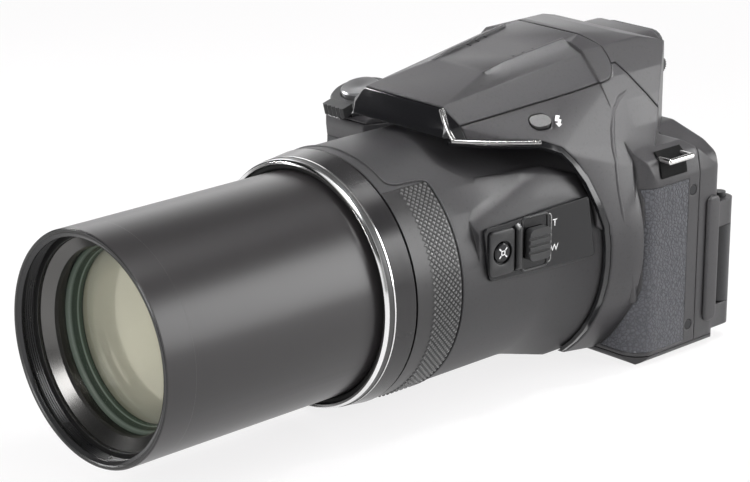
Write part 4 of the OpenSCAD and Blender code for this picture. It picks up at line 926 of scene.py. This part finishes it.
class CAMERA_OT_deck(bpy.types.Operator):
    """Finish the dials and buttons of the deck, and add the dial letters and marks"""

    bl_idname = "camera_looks.deck"
    bl_label = "Deck"

    def execute(self, context):
        dial = moulded_plastic("dial_plastic", (0.030, 0.030, 0.031, 1), rough=0.42, grain=0.008, edge=0.25)
        dress(["mode_dial", "command_dial", "zoom_lever", "dioptre_dial"], dial)
        dress(["fn_button", "power_button"], FINISHES["button_plastic"])
        shutter = satin_metal("shutter_satin", (0.20, 0.20, 0.205, 1), rough=0.3, metal=0.8)
        dress(["shutter_button"], shutter)
        white = FINISHES["white_ink"]
        dial_x = -53
        dial_y = 3
        top = Matrix.Translation((dial_x, dial_y, DECK_Z + 8.3))
        letters = []
        for k, word in enumerate("PSAM12"):
            spot = top @ Matrix.Rotation(math.radians(-60 * k), 4, "Z") @ Matrix.Translation((0, 6.3, 0))
            letters.append(add_words("mode_" + word, word, spot, 3.0))
        hand_over(join_pieces("mode_letters", letters), "mode_dial", white)
        clear_selection()
        bpy.ops.mesh.primitive_torus_add(
            major_radius=4.1 * MM, minor_radius=0.16 * MM, major_segments=48, minor_segments=8,
            location=(dial_x * MM, dial_y * MM, (DECK_Z + 8.28) * MM))
        groove = bpy.context.object
        groove.name = "mode_ring"
        bpy.ops.object.transform_apply(location=True)
        ring_metal = plain_metal("dial_ring", (0.5, 0.5, 0.5, 1), rough=0.25)
        hand_over(groove, "mode_dial", ring_metal, angle=60)
        deck = Matrix.Translation((0, 0, DECK_Z))
        stroke = [(-0.35, -1.6), (0.35, -1.6), (0.35, 0), (-0.35, 0)]
        index = cut_plate("mode_index", deck @ Matrix.Translation((dial_x, -7.6, 0)), stroke, -0.05, 0.06)
        hand_over(index, BODY, white)
        words = add_words("power_words", "ON/OFF", deck @ Matrix.Translation((-67.6, -12.2, 0)), 2.0)
        hand_over(words, BODY, white)
        return {"FINISHED"}


class CAMERA_OT_back(bpy.types.Operator):
    """Finish the monitor, the finder and the rear buttons"""

    bl_idname = "camera_looks.back"
    bl_label = "Back"

    def execute(self, context):
        keys = ["selector_ring", "ok_button", "movie_button", "playback_button", "menu_button",
                "delete_button"]
        dress(keys, FINISHES["button_plastic"])
        monitor = moulded_plastic("monitor_plastic", (0.022, 0.022, 0.024, 1), rough=0.4, grain=0.006)
        dress(["monitor_panel", "monitor_arm"], monitor)
        dress(["monitor_glass"], gloss_plastic("screen_glass", (0.006, 0.007, 0.009, 1), rough=0.05))
        dress(["eyepiece_lens"], coated_glass("eyepiece_coating", (0.05, 0.07, 0.09, 1), alpha=0.5))
        dress(["finder_display"], gloss_plastic("finder_screen", (0.03, 0.032, 0.036, 1), rough=0.2))
        white = FINISHES["white_ink"]
        red = printed("red_ink", (0.5, 0.02, 0.02, 1))
        triangle = [[(-1.1, -1.3), (1.3, 0), (-1.1, 1.3)]]
        bars = [[(-1.3, v), (1.3, v), (1.3, v + 0.45), (-1.3, v + 0.45)] for v in (-1.1, -0.2, 0.7)]
        bin_shape = [[(-0.9, -1.3), (0.9, -1.3), (1.1, 0.7), (-1.1, 0.7)],
                     [(-1.3, 0.95), (1.3, 0.95), (1.3, 1.3), (-1.3, 1.3)]]
        spot_r = 1.5
        angles = [k * math.tau / 24 for k in range(24)]
        spot = [[(spot_r * math.cos(a), spot_r * math.sin(a)) for a in angles]]
        signs = (("playback", (-46, 45.5), triangle, white), ("menu", (-54, 11), bars, white),
                 ("delete", (-71, 11), bin_shape, white), ("movie", (-46, 57), spot, red))
        for name, at, shapes, ink in signs:
            face = plane_matrix((at[0], REAR_KEY_Y, at[1]), (-1, 0, 0), (0, 1, 0))
            parts = []
            for k, points in enumerate(shapes):
                parts.append(cut_plate("%s_%d" % (name, k), face, points, -0.2, 0.05))
            hand_over(join_pieces(name + "_mark", parts), name + "_button", ink)
        ring = plane_matrix((-62, BACK_Y + 2.2, 31), (-1, 0, 0), (0, 1, 0))
        arrows = []
        head = [(9.0, -0.9), (10.2, 0), (9.0, 0.9)]
        for k in range(4):
            turn = ring @ Matrix.Rotation(math.radians(90 * k), 4, "Z")
            arrows.append(cut_plate("arrow_%d" % k, turn, head, -0.2, 0.1))
        hand_over(join_pieces("selector_marks", arrows), "selector_ring", white)
        return {"FINISHED"}


class CAMERA_OT_fittings(bpy.types.Operator):
    """Finish the lugs, the screws, the socket and the parts inside"""

    bl_idname = "camera_looks.fittings"
    bl_label = "Fittings and inner parts"

    def execute(self, context):
        dress(["strap_lugs"], plain_metal("lug_chrome", (0.72, 0.71, 0.70, 1), rough=0.18))
        dress(["cover_screws"], plain_metal("screw_black", (0.05, 0.05, 0.052, 1), rough=0.4))
        steel = plain_metal("steel", (0.55, 0.55, 0.56, 1), rough=0.3)
        dress(["tripod_socket", "guide_rods", "follower_pins"], steel)
        inner_metal = plain_metal("inner_metal", (0.4, 0.4, 0.42, 1), rough=0.4)
        dress(["chassis", "sensor_unit", "zoom_motor", "flash_capacitor"], inner_metal)
        inner = moulded_plastic("inner_plastic", (0.08, 0.08, 0.085, 1), rough=0.5, grain=0.01)
        dress(["cam_sleeve", "drive_pinion", "variator_cell", "battery"], inner)
        dress(["main_board"], circuit_board("board_green"))
        inner_glass = coated_glass("inner_glass", (0.3, 0.34, 0.36, 1), alpha=0.4)
        dress(["variator_lens", "focus_lens"], inner_glass)
        return {"FINISHED"}


# Floor: its size and height in metres, and how white it reads to the camera
FLOOR_SIZE = 8
FLOOR_Z = -0.0003
FLOOR_GLOW = 0.82

# Camera of the photograph's view: its place in metres, the way it looks and its lens in millimetres
CAMERA_AT = (0.547289, -0.604986, 0.300709)
CAMERA_WAY = (-0.68794719, 0.65204566, -0.31869283)
CAMERA_LENS = 124.48

# Lights: name, place and aim in metres, size in metres, power in watts and spread in degrees
LIGHTS = (
    ("top_softbox", (0.2, 0.08, 1.1), (0, -0.05, 0.05), 0.5, 4.5, 180),
    ("right_softbox", (0.74, 0.70, 0.42), (0.02, -0.05, 0.05), 0.75, 10.5, 180),
    ("front_softbox", (0.16, -1.0, 0.44), (0, -0.1, 0.05), 0.45, 7.0, 180),
    ("gridded_box", (0.09, 0.32, 1.05), (0.01, 0.02, 0.09), 0.2, 0.10, 16),
    ("left_softbox", (-0.80, 0.50, 0.45), (-0.03, -0.05, 0.05), 0.6, 1.0, 180),
    ("grip_box", (-0.95, -0.35, 0.5), (-0.06, 0.01, 0.04), 0.3, 0.5, 24))

# Brightness of the studio by height, towards the front and beside the camera, as (place, grey) stops
SKY_HEIGHT = ((0.0, 0.9), (0.33, 1.0), (0.46, 0.10), (0.84, 0.10), (0.92, 1.0))
SKY_FRONT_WAY = (-0.75, -0.66, 0)
SKY_FRONT = ((0.25, 1.0), (0.45, 0.06))
SKY_SIDE_WAY = (0.93, 0.37, 0)
SKY_SIDE = ((0.55, 1.0), (0.85, 0.35))


def turned_to(way):
    """Turn of a lamp or camera that looks along a way."""
    return Vector(way).to_track_quat("-Z", "Y").to_euler()


def set_floor():
    """Lay a pale floor that reads as white to the camera and keeps the shadow."""
    clear_selection()
    bpy.ops.mesh.primitive_plane_add(size=FLOOR_SIZE, location=(0, 0, FLOOR_Z))
    floor = bpy.context.object
    floor.name = "floor"
    bpy.ops.object.transform_apply(location=True)
    f = Finish("floor_white")
    f.set(Base_Color=f.mix(f.noise(3, 2), grey(0.84), grey(0.88)), Roughness=0.22)
    f.set(Specular_IOR_Level=0.35)
    path = f.add("LightPath")
    seen = f.maths("MAXIMUM", path.outputs["Is Camera Ray"], path.outputs["Is Glossy Ray"])
    seen = f.maths("MAXIMUM", seen, path.outputs["Is Transmission Ray"])
    glow = f.add("Emission", {"Color": (1, 0.992, 0.995, 1), "Strength": 1.0})
    share = f.maths("MULTIPLY", seen, FLOOR_GLOW)
    blend = f.add("MixShader", {0: share, 1: f.shader.outputs[0], 2: glow.outputs[0]})
    f.tree.links.new(blend.outputs[0], f.tree.nodes["Material Output"].inputs["Surface"])
    floor.data.materials.append(f.material)


def set_sky(scene):
    """Light the studio from all round, brighter low down and overhead."""
    world = bpy.data.worlds.new("studio")
    scene.world = world
    world.use_nodes = True
    tree = world.node_tree
    way = tree.nodes.new("ShaderNodeTexCoord").outputs["Generated"]
    split = tree.nodes.new("ShaderNodeSeparateXYZ")
    tree.links.new(way, split.inputs[0])
    shares = []
    for direction in (SKY_FRONT_WAY, SKY_SIDE_WAY):
        node = tree.nodes.new("ShaderNodeVectorMath")
        node.operation = "DOT_PRODUCT"
        node.inputs[1].default_value = direction
        tree.links.new(way, node.inputs[0])
        shares.append(node.outputs["Value"])
    both = tree.nodes.new("ShaderNodeMixRGB")
    every = tree.nodes.new("ShaderNodeMixRGB")
    for node in (both, every):
        node.blend_type = "MULTIPLY"
        node.inputs[0].default_value = 1.0
    tree.links.new(both.outputs[0], every.inputs[1])
    for socket, value, stops in ((both.inputs[1], split.outputs["Z"], SKY_HEIGHT),
                                 (both.inputs[2], shares[0], SKY_FRONT),
                                 (every.inputs[2], shares[1], SKY_SIDE)):
        ramp = tree.nodes.new("ShaderNodeValToRGB")
        fill_ramp(ramp, stops)
        tree.links.new(value, ramp.inputs[0])
        tree.links.new(ramp.outputs[0], socket)
    back = tree.nodes["Background"]
    tree.links.new(every.outputs[0], back.inputs["Color"])
    back.inputs["Strength"].default_value = 1.0


def set_lights(scene):
    """Hang the soft lights."""
    for name, at, aim, size, power, spread in LIGHTS:
        data = bpy.data.lights.new(name, "AREA")
        data.size = size
        data.energy = power
        data.spread = math.radians(spread)
        lamp = bpy.data.objects.new(name, data)
        scene.collection.objects.link(lamp)
        lamp.location = at
        lamp.rotation_euler = turned_to(Vector(aim) - Vector(at))


def set_camera(scene):
    """Stand the camera at the photograph's viewing angle."""
    data = bpy.data.cameras.new("photo_camera")
    data.lens = CAMERA_LENS
    data.sensor_width = 36
    data.sensor_fit = "HORIZONTAL"
    data.clip_start = 0.01
    camera = bpy.data.objects.new("photo_camera", data)
    scene.collection.objects.link(camera)
    camera.location = CAMERA_AT
    camera.rotation_euler = turned_to(CAMERA_WAY)
    scene.camera = camera


class CAMERA_OT_stage(bpy.types.Operator):
    """Set the floor, the lights, the world and the camera"""

    bl_idname = "camera_looks.stage"
    bl_label = "Stage"

    def execute(self, context):
        scene = bpy.context.scene
        set_floor()
        set_sky(scene)
        set_lights(scene)
        set_camera(scene)
        scene.view_settings.view_transform = "Standard"
        return {"FINISHED"}


STEPS = (CAMERA_OT_covers, CAMERA_OT_ridges, CAMERA_OT_skins, CAMERA_OT_barrel, CAMERA_OT_front_glass,
         CAMERA_OT_rings, CAMERA_OT_knurl, CAMERA_OT_side_controls, CAMERA_OT_flash, CAMERA_OT_left_side,
         CAMERA_OT_deck, CAMERA_OT_back, CAMERA_OT_fittings, CAMERA_OT_stage)


class CAMERA_PT_looks(bpy.types.Panel):
    """Lists the settings and the steps"""

    bl_idname = "CAMERA_PT_looks"
    bl_label = "Camera looks"
    bl_space_type = "VIEW_3D"
    bl_region_type = "UI"
    bl_category = "Camera looks"

    def draw(self, context):
        for key in CameraLooks.__annotations__:
            self.layout.prop(context.scene.camera_looks, key)
        for step in STEPS:
            self.layout.operator(step.bl_idname)


CLASSES = (CameraLooks, *STEPS, CAMERA_PT_looks)


def register():
    """Register the classes and the scene's settings."""
    for item in CLASSES:
        bpy.utils.register_class(item)
    bpy.types.Scene.camera_looks = PointerProperty(type=CameraLooks)


def unregister():
    """Take the classes and the settings away again."""
    del bpy.types.Scene.camera_looks
    for item in reversed(CLASSES):
        bpy.utils.unregister_class(item)


def main():
    """Build everything in order."""
    register()
    for step in STEPS:
        group, name = step.bl_idname.split(".")
        getattr(getattr(bpy.ops, group), name)()


if __name__ == "__main__":
    main()
